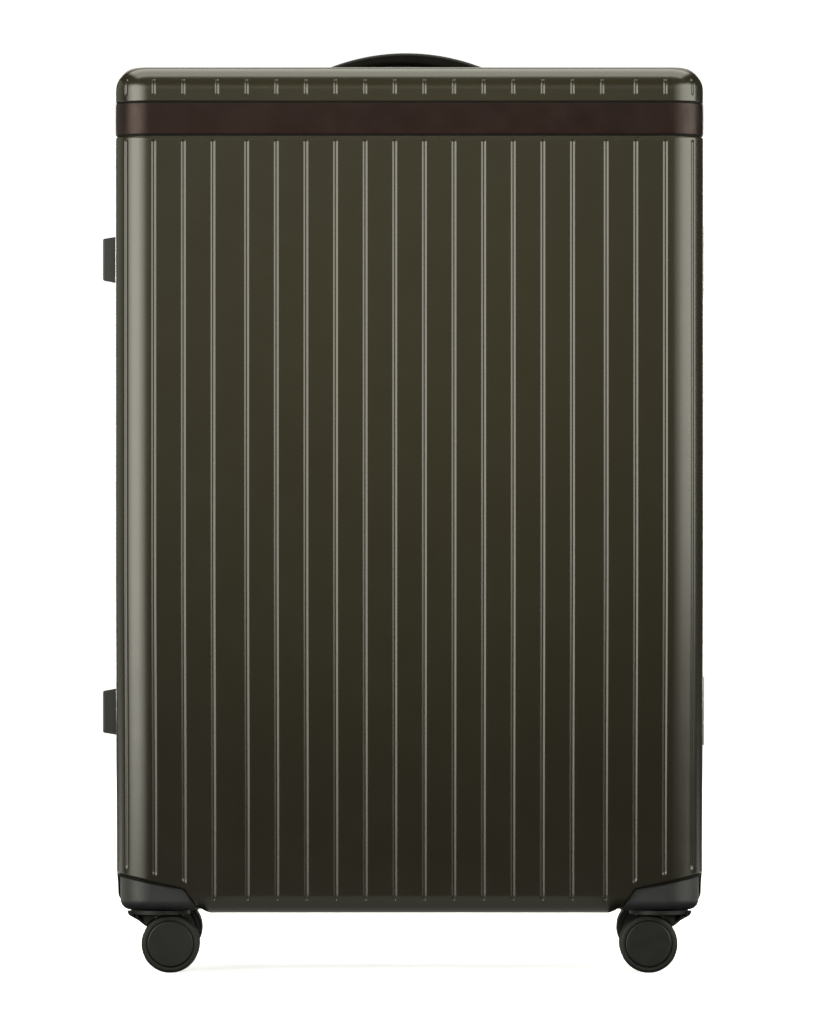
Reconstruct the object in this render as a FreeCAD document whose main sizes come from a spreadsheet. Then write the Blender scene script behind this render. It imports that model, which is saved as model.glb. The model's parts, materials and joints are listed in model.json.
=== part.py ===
import FreeCAD, Part
import math
import os
import Sketcher
from FreeCAD import Vector, Placement, Rotation

# Hard-sided spinner suitcase, millimetres, +Z up, floor at z = 0, front half toward -Y.
doc = FreeCAD.newDocument("SpinnerSuitcase")
sheet = doc.addObject("Spreadsheet::Sheet", "dims")


class Q:
    """A size that carries its value and its spreadsheet expression."""

    def __init__(self, text, value):
        self.t = text
        self.v = float(value)

    @staticmethod
    def of(o):
        return o if isinstance(o, Q) else Q(repr(float(o)), o)

    def __add__(self, o):
        o = Q.of(o)
        return Q("(%s + %s)" % (self.t, o.t), self.v + o.v)

    def __sub__(self, o):
        o = Q.of(o)
        return Q("(%s - %s)" % (self.t, o.t), self.v - o.v)

    def __mul__(self, o):
        o = Q.of(o)
        return Q("(%s * %s)" % (self.t, o.t), self.v * o.v)

    def __truediv__(self, o):
        o = Q.of(o)
        return Q("(%s / %s)" % (self.t, o.t), self.v / o.v)

    def __radd__(self, o):
        return Q.of(o) + self

    def __rsub__(self, o):
        return Q.of(o) - self

    def __rmul__(self, o):
        return Q.of(o) * self

    def __neg__(self):
        return Q("(0 - %s)" % self.t, -self.v)


ROW = [0]


def dim(alias, value, note):
    ROW[0] += 1
    r = ROW[0]
    sheet.set("A%d" % r, note)
    sheet.set("B%d" % r, repr(float(value)))
    sheet.setAlias("B%d" % r, alias)
    return Q("dims." + alias, value)


# ---------------------------------------------------------------- sizes
shift_x = dim("shift_x", 4.7, "case centre plane in x, puts the bounding box on the origin")
case_w = dim("case_w", 506.0, "shell width")
case_d = dim("case_d", 320.0, "case depth, both halves")
case_top = dim("case_top", 780.0, "shell top")
case_bot = dim("case_bot", 52.0, "shell bottom")
wall = dim("wall", 2.4, "shell wall")
plan_r = dim("plan_r", 30.0, "upright corner radius")
top_r = dim("top_r", 20.0, "top edge radius")
bot_r = dim("bot_r", 16.0, "bottom edge radius")
rim_y = dim("rim_y", 4.0, "shell rim distance from the mating plane")

band_lo = dim("band_lo", 723.5, "leather band lower edge")
band_hi = dim("band_hi", 749.5, "leather band upper edge")
band_gap = dim("band_gap", 1.2, "gap above and below the band")
band_deep = dim("band_deep", 1.3, "band recess depth")

groove_r = dim("groove_r", 3.0, "groove channel radius")
groove_deep = dim("groove_deep", 1.1, "groove depth")

frame_out = dim("frame_out", 1.8, "frame proud of the shell")
frame_in = dim("frame_in", 5.0, "frame reach inside the shell face")
frame_y = dim("frame_y", 10.0, "frame flange width from the mating plane")
frame_gap = dim("frame_gap", 0.25, "half gap at the mating plane")

hinge_x = dim("hinge_x", 256.4, "hinge axis from the case centre")
hinge_r = dim("hinge_r", 2.6, "hinge knuckle radius")
hinge_hi = dim("hinge_hi", 618.0, "upper hinge and latch height")
hinge_lo = dim("hinge_lo", 222.0, "lower hinge and latch height")
hinge_len = dim("hinge_len", 60.0, "hinge length")
pin_r = dim("pin_r", 1.3, "hinge pin radius")

latch_out = dim("latch_out", 15.5, "latch strike height above the shell side")
latch_base_h = dim("latch_base_h", 41.5, "strike height at its foot")
latch_top_h = dim("latch_top_h", 36.3, "strike height at its outer face")
lever_w = dim("lever_w", 27.0, "latch lever width")
dial_r = dim("dial_r", 6.5, "number dial radius")
dial_w = dim("dial_w", 6.0, "number dial width")

cut_reach = dim("cut_reach", 71.6, "corner cut-out reach along the bottom")
cut_flat = dim("cut_flat", 59.5, "corner cut-out upper line end")
cut_z_side = dim("cut_z_side", 86.2, "corner cut-out line at the side")
cut_z_turn = dim("cut_z_turn", 73.1, "corner cut-out line at the turn")
cut_z_low = dim("cut_z_low", 55.0, "corner cut-out line at the bottom")
cut_z_top = dim("cut_z_top", 87.2, "corner cut-out top line on the side")
corner_inset = dim("corner_inset", 3.7, "moulded corner inset from the shell face")
corner_bot = dim("corner_bot", 54.5, "moulded corner underside")
corner_gap = dim("corner_gap", 0.6, "gap between shell edge and moulded corner")

swivel_x = dim("swivel_x", 215.0, "front caster swivel axis from the centre in x")
rear_swivel_x = dim("rear_swivel_x", 219.5, "rear caster swivel axis from the centre in x")
swivel_y = dim("swivel_y", 126.0, "caster swivel axis from the centre in y")
trail = dim("trail", 9.0, "caster trail")
wheel_r = dim("wheel_r", 25.0, "wheel radius")
wheel_w = dim("wheel_w", 12.4, "one wheel width")
wheel_in = dim("wheel_in", 3.8, "wheel inner face from the caster middle")
hub_r = dim("hub_r", 20.7, "tyre seat radius")
cap_r = dim("cap_r", 19.8, "hub cap radius")
axle_r = dim("axle_r", 3.0, "axle radius")
king_r = dim("king_r", 4.0, "kingpin radius")
run_fit = dim("run_fit", 0.05, "running clearance on a shaft")

tube_x = dim("tube_x", 80.0, "trolley tube spacing from the centre")
tube_y = dim("tube_y", 120.0, "trolley tube position in depth")
sleeve_w = dim("sleeve_w", 22.0, "outer sleeve width")
sleeve_d = dim("sleeve_d", 16.0, "outer sleeve depth")
mid_w = dim("mid_w", 19.0, "middle tube width")
mid_d = dim("mid_d", 13.0, "middle tube depth")
inner_w = dim("inner_w", 16.0, "inner tube width")
inner_d = dim("inner_d", 10.0, "inner tube depth")
tube_t = dim("tube_t", 1.2, "tube wall")
tray_z = dim("tray_z", 758.0, "trolley tray underside")

bow_y = dim("bow_y", 45.0, "top handle position in depth")
bow_top = dim("bow_top", 803.0, "top handle peak")
bow_ro = dim("bow_ro", 185.0, "top handle outer arc radius")
bow_t = dim("bow_t", 10.5, "top handle thickness")
bow_w = dim("bow_w", 26.0, "top handle width")
bow_post = dim("bow_post", 72.0, "top handle post from the centre")

side_y = dim("side_y", 104.0, "side handle position in depth")
side_z = dim("side_z", 420.0, "side handle height")
side_len = dim("side_len", 196.0, "side handle length")

half_w = case_w / 2
half_d = case_d / 2
parts = {}
order = []


# ---------------------------------------------------------------- helpers
def bind(obj, prop, q):
    q = Q.of(q)
    obj.setExpression(prop, q.t)


def place(obj, x, y, z):
    for axis, q in (("x", Q.of(x) + shift_x), ("y", y), ("z", z)):
        bind(obj, "Placement.Base." + axis, q)


def box(name, xr, yr, zr):
    o = doc.addObject("Part::Box", name)
    bind(o, "Length", Q.of(xr[1]) - xr[0])
    bind(o, "Width", Q.of(yr[1]) - yr[0])
    bind(o, "Height", Q.of(zr[1]) - zr[0])
    place(o, xr[0], yr[0], zr[0])
    return o


def turn(axis):
    if axis == "Y":
        return Rotation(Vector(1, 0, 0), -90)
    if axis == "X":
        return Rotation(Vector(0, 1, 0), 90)
    return Rotation()


def cyl(name, r, h, at, axis="Z"):
    o = doc.addObject("Part::Cylinder", name)
    bind(o, "Radius", r)
    bind(o, "Height", h)
    o.Placement = Placement(Vector(), turn(axis))
    place(o, at[0], at[1], at[2])
    return o


def cone(name, r1, r2, h, at, axis="Z"):
    o = doc.addObject("Part::Cone", name)
    bind(o, "Radius1", r1)
    bind(o, "Radius2", r2)
    bind(o, "Height", h)
    o.Placement = Placement(Vector(), turn(axis))
    place(o, at[0], at[1], at[2])
    return o


def prism(name, pts, plane, start, length):
    """Closed polygon, each corner dimensioned from the origin, pulled along the plane's normal."""
    sk = doc.addObject("Sketcher::SketchObject", name + "_sketch")
    n = len(pts)
    num = [(Q.of(a).v, Q.of(b).v) for a, b in pts]
    for i in range(n):
        a, b = num[i], num[(i + 1) % n]
        sk.addGeometry(Part.LineSegment(Vector(a[0], a[1], 0), Vector(b[0], b[1], 0)), False)
    for i in range(n):
        sk.addConstraint(Sketcher.Constraint("Coincident", i, 2, (i + 1) % n, 1))
    for i in range(n):
        for kind, q in (("DistanceX", pts[i][0]), ("DistanceY", pts[i][1])):
            k = sk.addConstraint(Sketcher.Constraint(kind, -1, 1, i, 1, Q.of(q).v))
            if isinstance(q, Q):
                sk.setExpression("Constraints[%d]" % k, q.t)
    ext = doc.addObject("Part::Extrusion", name)
    ext.Base = sk
    ext.DirMode = "Custom"
    ext.Solid = True
    bind(ext, "LengthFwd", length)
    if plane == "XZ":
        sk.Placement = Placement(Vector(), Rotation(Vector(1, 0, 0), 90))
        bind(sk, "Placement.Base.x", shift_x)
        bind(sk, "Placement.Base.y", start)
        ext.Dir = Vector(0, 1, 0)
    elif plane == "YZ":
        sk.Placement = Placement(Vector(), Rotation(Vector(0, 1, 0), Vector(0, 0, 1), Vector(1, 0, 0), "XYZ"))
        bind(sk, "Placement.Base.x", Q.of(start) + shift_x)
        ext.Dir = Vector(1, 0, 0)
    else:
        bind(sk, "Placement.Base.x", shift_x)
        bind(sk, "Placement.Base.z", start)
        ext.Dir = Vector(0, 0, 1)
    return ext


def fillet(name, base, radius, pick):
    doc.recompute()
    r = Q.of(radius).v
    edges = []
    for i, e in enumerate(base.Shape.Edges):
        bb = e.BoundBox
        if pick(bb, e):
            edges.append((i + 1, r, r))
    if not edges:
        raise RuntimeError("no edge to round on " + name)
    o = doc.addObject("Part::Fillet", name)
    o.Base = base
    o.Edges = edges
    doc.recompute()
    if o.Shape.isNull() or not o.Shape.isValid():
        raise RuntimeError("rounding failed on " + name)
    return o


def cut(name, base, *tools):
    o = doc.addObject("Part::Cut", name)
    o.Base = base
    o.Tool = tools[0] if len(tools) == 1 else group(name + "_tools", *tools)
    return o


def fuse(name, *objs):
    o = doc.addObject("Part::MultiFuse", name)
    o.Shapes = list(objs)
    o.Refine = True
    return o


def common(name, *objs):
    o = doc.addObject("Part::MultiCommon", name)
    o.Shapes = list(objs)
    return o


def group(name, *objs):
    o = doc.addObject("Part::Compound", name)
    o.Links = list(objs)
    return o


def mirror(name, src, normal):
    o = doc.addObject("Part::Mirroring", name)
    o.Source = src
    o.Normal = Vector(*normal)
    if normal[0]:
        bind(o, "Base.x", shift_x)
    return o


def node(label, obj):
    obj.Label = label
    parts[label] = obj
    order.append(label)
    return obj


def flat(v):
    return v < 1e-6


def upright(bb):
    return flat(bb.XLength) and flat(bb.YLength) and bb.ZLength > 1


def near(a, b):
    return abs(a - b) < 1e-4


def half_block(name, off, y1, lo=None, hi=None, rounded=True):
    """Front half block, its faces moved in by off, open toward the mating plane at y1."""
    z0 = case_bot + off if lo is None else lo
    z1 = case_top - off if hi is None else hi
    b = box(name + "_box", (off - half_w, half_w - off), (off - half_d, y1), (z0, z1))
    front = Q.of(off - half_d).v
    b = fillet(name + "_plan", b, plan_r - off, lambda bb, e: upright(bb) and near(bb.YMin, front))
    if not rounded:
        return b
    rim = Q.of(y1).v
    zt, zb = Q.of(z1).v, Q.of(z0).v

    def on(z):
        return lambda bb, e: near(bb.ZMin, z) and near(bb.ZMax, z) and not (near(bb.YMin, rim) and near(bb.YMax, rim))

    b = fillet(name + "_top", b, top_r - off, on(zt))
    b = fillet(name + "_bottom", b, bot_r - off, on(zb))
    return b


def tunnel(name, off, y0, y1):
    """Rounded rectangular block along Y; off is how far it stands outside the shell face."""
    b = box(name + "_box", (-half_w - off, half_w + off), (y0, y1), (case_bot - off, case_top + off))
    mid = (case_bot.v + case_top.v) / 2
    b = fillet(name + "_upper", b, top_r + off,
               lambda bb, e: flat(bb.XLength) and flat(bb.ZLength) and bb.ZMin > mid)
    b = fillet(name + "_lower", b, bot_r + off,
               lambda bb, e: flat(bb.XLength) and flat(bb.ZLength) and bb.ZMin < mid)
    return b


def corner_cutter(name, grow, lift):
    """Region of the front left bottom corner under the stepped line, seen from front and side."""
    rows = [(-12.0, 40.0), (cut_reach + 9.9 + grow, 40.0), (cut_reach + grow, cut_z_low),
            (cut_flat + 1.67 + grow, cut_z_turn - 2.5 + lift), (cut_flat - 0.33 + grow, cut_z_turn - 0.46 + lift),
            (cut_flat - 3 + grow, cut_z_turn + 0.66 + lift)]
    front = prism(name + "_front", [(Q.of(a) - half_w, b) for a, b in rows + [(-12.0, cut_z_side + 2.64 + lift)]],
                  "XZ", -12 - half_d, 110.0)
    side = prism(name + "_side", [(Q.of(a) - half_d, b) for a, b in rows + [(plan_r + grow, cut_z_top + lift), (-12.0, cut_z_top + lift)]],
                 "YZ", -12 - half_w, 110.0)
    return common(name, front, side)


# ---------------------------------------------------------------- half shells
outer = half_block("outer", Q.of(0.0), -rim_y)
inner = half_block("inner", wall, Q.of(6.0))
skin = cut("shell_skin", outer, inner)

band_ring_out = half_block("band_ring_out", Q.of(-3.0), -frame_y, band_lo - band_gap, band_hi + band_gap, False)
band_ring_in = half_block("band_ring_in", band_deep, Q.of(0.0), band_lo - band_gap - 1, band_hi + band_gap + 1, False)
band_slot = cut("band_slot", band_ring_out, band_ring_in)

cutter = corner_cutter("corner_cut", Q.of(0.0), Q.of(0.0))
cutter_r = mirror("corner_cut_right", cutter, (1, 0, 0))

# upright pressed channels on the front face, spaced as two side groups and one middle group
pitch = dim("pitch", 25.44, "groove spacing")
lead = dim("lead", 28.9, "wider gap between groove groups")


def channel(name, x, y, z0, z1):
    c = cyl(name, groove_r, Q.of(z1) - z0, (x, y, z0))
    return c


front_y = -half_d - groove_r + groove_deep
side_x = -half_w - groove_r + groove_deep
body_lo = dim("body_lo", 64.6, "body groove lower end")
body_hi = dim("body_hi", 716.8, "body groove upper end")
mid_first = pitch * -5.5
body_xs = [mid_first + pitch * i for i in range(12)]
body_xs += [mid_first - lead - pitch * i for i in range(3)] + [pitch * 5.5 + lead + pitch * i for i in range(3)]
side_ys = [-half_d + 31.4 + pitch * i for i in range(5)]
tools = []
for i, gx in enumerate(body_xs):
    tools.append(channel("groove_f%d" % i, gx, front_y, body_lo, body_hi))
for i, gy in enumerate(side_ys):
    tools.append(channel("groove_l%d" % i, side_x, gy, body_lo, body_hi))
    tools.append(channel("groove_r%d" % i, -side_x, gy, body_lo, body_hi))
ring = plan_r + groove_r - groove_deep
for i, s in enumerate((-1, 1)):
    tools.append(channel("groove_c%d" % i, (half_w - plan_r + ring * 0.6934) * s, plan_r - half_d - ring * 0.7206, body_lo, body_hi))
grooves = group("grooves", *tools)

shell = cut("shell_bare", skin, band_slot, cutter, cutter_r)
front_shell = cut("front_shell_cut", shell, grooves)
node("front_shell", front_shell)
rear_base = mirror("rear_shell_base", front_shell, (0, 1, 0))

rear_tools = [box("tray_hole", (-108.4, 108.4), (102.6, 137.4), (case_top - 6, case_top + 4))]
for sx in (-1, 1):
    rear_tools.append(cyl("bow_hole_%d" % (sx + 1), 7.2, 12.0, (bow_post * sx, bow_y, case_top - 6)))
for sz in (-1, 1):
    rear_tools.append(cyl("side_hole_%d" % (sz + 1), 6.2, 12.0, (-half_w - 6, side_y, side_z + 83 * sz), "X"))
node("rear_shell", cut("rear_shell_cut", rear_base, *rear_tools))

# ---------------------------------------------------------------- leather bands
band_out = half_block("band_out", Q.of(0.1), -frame_y - 0.6, band_lo, band_hi, False)
band_in = half_block("band_in", band_deep, Q.of(0.0), band_lo - 2, band_hi + 2, False)
front_band = node("front_band", cut("front_band_cut", band_out, band_in))
node("rear_band", mirror("rear_band_mirror", front_band, (0, 1, 0)))

# ---------------------------------------------------------------- frame halves and seal
fr_a = tunnel("fr_a", frame_out, -frame_y, -frame_gap)
fr_b = tunnel("fr_b", -frame_in, -frame_y - 1, Q.of(1.0))
fr_c = tunnel("fr_c", Q.of(0.1), -frame_y - 1, -rim_y)
fr_d = tunnel("fr_d", -wall - 0.1, -frame_y - 2, Q.of(1.0))
fr_slot = cut("frame_slot", fr_c, fr_d)
notches = []
for k, hz in enumerate((hinge_lo, hinge_hi)):
    notches.append(cyl("hinge_notch_%d" % k, hinge_r + 0.4, hinge_len + 0.8,
                       (hinge_x, 0.0, hz - hinge_len / 2 - 0.4)))
frame_plain = cut("frame_plain", fr_a, fr_b, fr_slot, *notches)
se_a = tunnel("se_a", Q.of(-2.0), Q.of(-2.3), Q.of(0.5))
se_b = tunnel("se_b", Q.of(-3.8), Q.of(-3.0), Q.of(1.0))
seal_groove = cut("seal_groove", se_a, se_b)
node("front_frame", cut("front_frame_cut", frame_plain, seal_groove))
node("rear_frame", mirror("rear_frame_mirror", frame_plain, (0, 1, 0)))
se_c = tunnel("se_c", Q.of(-2.2), Q.of(-2.2), Q.of(-0.08))
se_d = tunnel("se_d", Q.of(-3.6), Q.of(-3.0), Q.of(1.0))
node("frame_seal", cut("frame_seal_cut", se_c, se_d))

# ---------------------------------------------------------------- hinges
rear_leaves, front_leaves, pins = [], [], []
seat = half_w + frame_out
for k, hz in enumerate((hinge_lo, hinge_hi)):
    lo = hz - hinge_len / 2
    hi = hz + hinge_len / 2
    top = hinge_x - 0.1
    plate = box("leaf_r_plate%d" % k, (seat, top), (hinge_r + 0.4, frame_y - 0.2), (lo, hi))
    web = box("leaf_r_web%d" % k, (seat + 0.2, top), (0.0, hinge_r + 0.5), (hz - 10, hz + 10))
    kn = cyl("leaf_r_knuckle%d" % k, hinge_r, 20.0, (hinge_x, 0.0, hz - 10))
    bore = cyl("leaf_r_bore%d" % k, pin_r, 24.0, (hinge_x, 0.0, hz - 12))
    rear_leaves.append(cut("leaf_r%d" % k, fuse("leaf_r_body%d" % k, plate, web, kn), bore))
    plate = box("leaf_f_plate%d" % k, (seat, top), (0.2 - frame_y, -hinge_r - 0.4), (lo, hi))
    bits = [plate]
    for j, (a, b) in enumerate(((lo, hz - 10.4), (hz + 10.4, hi))):
        bits.append(box("leaf_f_web%d%d" % (k, j), (seat + 0.2, top), (-hinge_r - 0.5, 0.0), (a, b)))
        bits.append(cyl("leaf_f_knuckle%d%d" % (k, j), hinge_r, b - a, (hinge_x, 0.0, a)))
    bore = cyl("leaf_f_bore%d" % k, pin_r + run_fit, hinge_len + 4, (hinge_x, 0.0, lo - 2))
    front_leaves.append(cut("leaf_f%d" % k, fuse("leaf_f_body%d" % k, *bits), bore))
    pins.append(cyl("hinge_pin%d" % k, pin_r, hinge_len + 1, (hinge_x, 0.0, lo - 0.5)))
node("rear_hinge_leaves", group("rear_leaf_pair", *rear_leaves))
node("front_hinge_leaves", group("front_leaf_pair", *front_leaves))

# ---------------------------------------------------------------- latches on the left
strikes, bases, levers = [], [], []
dials = []


def out(u):
    return -half_w - u


for k, hz in enumerate((hinge_lo, hinge_hi)):
    # keeper block on the front half, tapered, with a low step for the lever nose
    rows = [(out(Q.of(0.0)), hz - latch_base_h / 2), (out(Q.of(0.0)), hz + latch_base_h / 2),
            (out(latch_out), hz + latch_top_h / 2), (out(latch_out), hz - latch_top_h / 2)]
    keep = prism("strike_block%d" % k, rows, "XZ", Q.of(-30.0), Q.of(19.4))
    keep = fillet("strike_round%d" % k, keep, 1.6,
                  lambda bb, e: bb.XMax < -half_w.v - 10 + shift_x.v and bb.YMin < -29.9)
    step = box("strike_step%d" % k, (out(Q.of(30.0)), out(Q.of(8.5))), (-18.0, 0.0), (hz - 40, hz + 40))
    strikes.append(cut("strike%d" % k, keep, step))
    # base on the rear half with dial windows and the lever slot
    rows = [(out(Q.of(0.0)), hz - 18.3), (out(Q.of(0.0)), hz + 18.3), (out(Q.of(13.3)), hz + 16.8), (out(Q.of(13.3)), hz - 16.8)]
    blk = prism("latch_block%d" % k, rows, "XZ", Q.of(10.6), Q.of(35.4))
    blk = fillet("latch_block_round%d" % k, blk, 1.6,
                 lambda bb, e: bb.XMax < -half_w.v - 10 + shift_x.v and bb.YMax > 45.9)
    holes = [box("lever_slot%d" % k, (out(Q.of(20.0)), out(Q.of(1.0))), (0.0, 22.4), (hz - lever_w / 2 - 0.4, hz + lever_w / 2 + 0.4)),
             cyl("lever_pin_hole%d" % k, 1.6, 33.0, (out(Q.of(8.0)), 14.5, hz - 16.5)),
             cyl("dial_shaft_hole%d" % k, 1.5, 30.0, (out(Q.of(8.0)), 34.0, hz - 15))]
    for j in (-1, 0, 1):
        holes.append(box("dial_window%d%d" % (k, j + 1), (out(Q.of(20.0)), out(Q.of(1.0))), (27.0, 41.0),
                         (hz + 9 * j - dial_w / 2 - 0.4, hz + 9 * j + dial_w / 2 + 0.4)))
        wheel = cyl("dial_drum%d%d" % (k, j + 1), dial_r, dial_w, (out(Q.of(8.0)), 34.0, hz + 9 * j - dial_w / 2))
        teeth = []
        for n in range(10):
            ang = math.radians(36 * n + 18)
            teeth.append(cyl("dial_nick%d%d%d" % (k, j + 1, n), 0.7, dial_w + 2,
                             (out(Q.of(8.0)) - 6.6 * math.cos(ang), 34.0 + 6.6 * math.sin(ang), hz + 9 * j - dial_w / 2 - 1)))
        dials.append(("%s_dial_%s" % (("lower", "upper")[k], "abc"[j + 1]),
                      cut("dial%d%d" % (k, j + 1), wheel, cyl("dial_bore%d%d" % (k, j + 1), 1.5 + run_fit, 20.0, (out(Q.of(8.0)), 34.0, hz + 9 * j - 10)), *teeth)))
    bases.append(cut("latch_base%d" % k, blk, *holes))
    pins.append(cyl("lever_pin%d" % k, 1.6, 33.0, (out(Q.of(8.0)), 14.5, hz - 16.5)))
    pins.append(cyl("dial_shaft%d" % k, 1.5, 30.0, (out(Q.of(8.0)), 34.0, hz - 15)))
    # lever: side outline pulled across its width
    rows = [(8.9, -17.6), (14.2, -17.6), (15.3, -16.0), (15.3, 14.0), (13.2, 18.4), (4.0, 18.4), (4.0, -10.2), (8.9, -10.2)]
    lev = prism("lever_block%d" % k, [(out(Q.of(u)), Q.of(v)) for u, v in rows], "XY", hz - lever_w / 2, lever_w)
    lev = fillet("lever_round%d" % k, lev, 1.2,
                 lambda bb, e: bb.XMax < -half_w.v - 14.9 + shift_x.v and bb.YLength > 5)
    lip = box("lever_grip%d" % k, (out(Q.of(11.6)), out(Q.of(8.0))), (-20.0, -13.2), (hz - 9, hz + 9))
    bore = cyl("lever_bore%d" % k, 1.6 + run_fit, 60.0, (out(Q.of(8.0)), 14.5, hz - 30))
    levers.append(("%s_latch_lever" % ("lower", "upper")[k], cut("lever%d" % k, lev, bore, lip)))
node("latch_strikes", group("strike_pair", *strikes))
node("latch_bases", group("latch_base_pair", *bases))
node("pivot_pins", group("pivot_pin_set", *pins))
for label, o in levers + dials:
    node(label, o)

# ---------------------------------------------------------------- moulded corners
cz = corner_bot
cor_block = box("corner_block_box", (corner_inset - half_w, Q.of(0.0)), (corner_inset - half_d, Q.of(0.0)), (cz, Q.of(130.0)))
cf = (corner_inset - half_d).v
cx = (corner_inset - half_w + shift_x).v
cor_block = fillet("corner_block_plan", cor_block, plan_r - corner_inset,
                   lambda bb, e: upright(bb) and near(bb.YMin, cf) and near(bb.XMin, cx))
cor_block = fillet("corner_block_foot", cor_block, 8.5,
                   lambda bb, e: near(bb.ZMax, cz.v) and not near(bb.YMin, 0) and not near(bb.XMax, shift_x.v) or
                   (near(bb.ZMax, cz.v) and (near(bb.YMax, cf) or near(bb.XMax, cx))))
cor_cut = corner_cutter("corner_fit", -corner_gap, -corner_gap)
cor_body = common("corner_body", cor_block, cor_cut)
lip_out = half_block("lip_out", wall + 0.12, Q.of(0.0))
lip_in = half_block("lip_in", wall + 2.4, Q.of(6.0))
lip_cut = corner_cutter("corner_lip_cut", Q.of(7.0), Q.of(7.0))
lip_low = box("corner_lip_low", (-half_w, -half_w + 100), (-half_d, -half_d + 100), (60.0, 140.0))
lip_all = common("corner_lip_all", cut("corner_lip_skin", lip_out, lip_in), lip_cut, lip_low)
lip = cut("corner_lip", lip_all, corner_cutter("corner_lip_trim", Q.of(-1.6), Q.of(-1.6)))
cor_all = fuse("corner_fused", cor_body, lip)
pocket = box("corner_pocket", (6 - half_w, 63 - half_w), (6 - half_d, 63 - half_d), (62.0, 140.0))
pf, px = (6 - half_d).v, (6 - half_w + shift_x).v
pocket = fillet("corner_pocket_plan", pocket, plan_r - 6, lambda bb, e: upright(bb) and near(bb.YMin, pf) and near(bb.XMin, px))
screw_at = [(18.0, 18.0), (60.0, 58.0), (15.0, 59.0), (60.0, 15.0)]
screw_holes = []
for i, (a, b) in enumerate(screw_at):
    screw_holes.append(cyl("corner_screw_hole%d" % i, 1.6, 20.0, (a - half_w, b - half_d, 50.0)))
    screw_holes.append(cyl("corner_screw_sink%d" % i, 3.1, 5.9, (a - half_w, b - half_d, 50.0)))
hollow = cut("corner_hollow", cor_all, pocket)
for tag, sw in (("front", swivel_x), ("rear", rear_swivel_x)):
    boss = cyl("corner_boss_" + tag, 9.5, 15.0, (-sw, -swivel_y, 61.0))
    king_hole = cyl("corner_king_hole_" + tag, king_r, 40.0, (-sw, -swivel_y, 50.0))
    corner_l = cut("corner_left_" + tag, fuse("corner_with_boss_" + tag, hollow, boss), king_hole, *screw_holes)
    pair = group("corner_pair_" + tag, corner_l, mirror("corner_right_" + tag, corner_l, (1, 0, 0)))
    node(tag + "_corners", pair if tag == "front" else mirror("corner_pair_rear_turned", pair, (0, 1, 0)))

screws = []
for i, (a, b) in enumerate(screw_at):
    head = cone("screw_head%d" % i, 2.2, 2.9, 1.0, (a - half_w, b - half_d, 54.8))
    shank = cyl("screw_shank%d" % i, 1.6, 6.0, (a - half_w, b - half_d, 55.7))
    slot_a = box("screw_slot_a%d" % i, (a - half_w - 1.4, a - half_w + 1.4), (b - half_d - 0.3, b - half_d + 0.3), (54.0, 55.3))
    slot_b = box("screw_slot_b%d" % i, (a - half_w - 0.3, a - half_w + 0.3), (b - half_d - 1.4, b - half_d + 1.4), (54.0, 55.3))
    screws.append(cut("screw%d" % i, fuse("screw_body%d" % i, head, shank), slot_a, slot_b))
screws_l = group("screws_left", *screws)
front_screws = node("front_screws", group("front_screw_set", screws_l, mirror("screws_right", screws_l, (1, 0, 0))))
node("rear_screws", mirror("rear_screw_set", front_screws, (0, 1, 0)))

for tag, sw in (("front", swivel_x), ("rear", rear_swivel_x)):
    king = fuse("kingpin_left_" + tag, cyl("king_shank_" + tag, king_r, 26.0, (-sw, -swivel_y, 49.0)),
                cyl("king_head_" + tag, 4.6, 1.6, (-sw, -swivel_y, 49.2)))
    pair = group("kingpin_pair_" + tag, king, mirror("kingpin_right_" + tag, king, (1, 0, 0)))
    node(tag + "_kingpins", pair if tag == "front" else mirror("kingpin_pair_rear_turned", pair, (0, 1, 0)))

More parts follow.
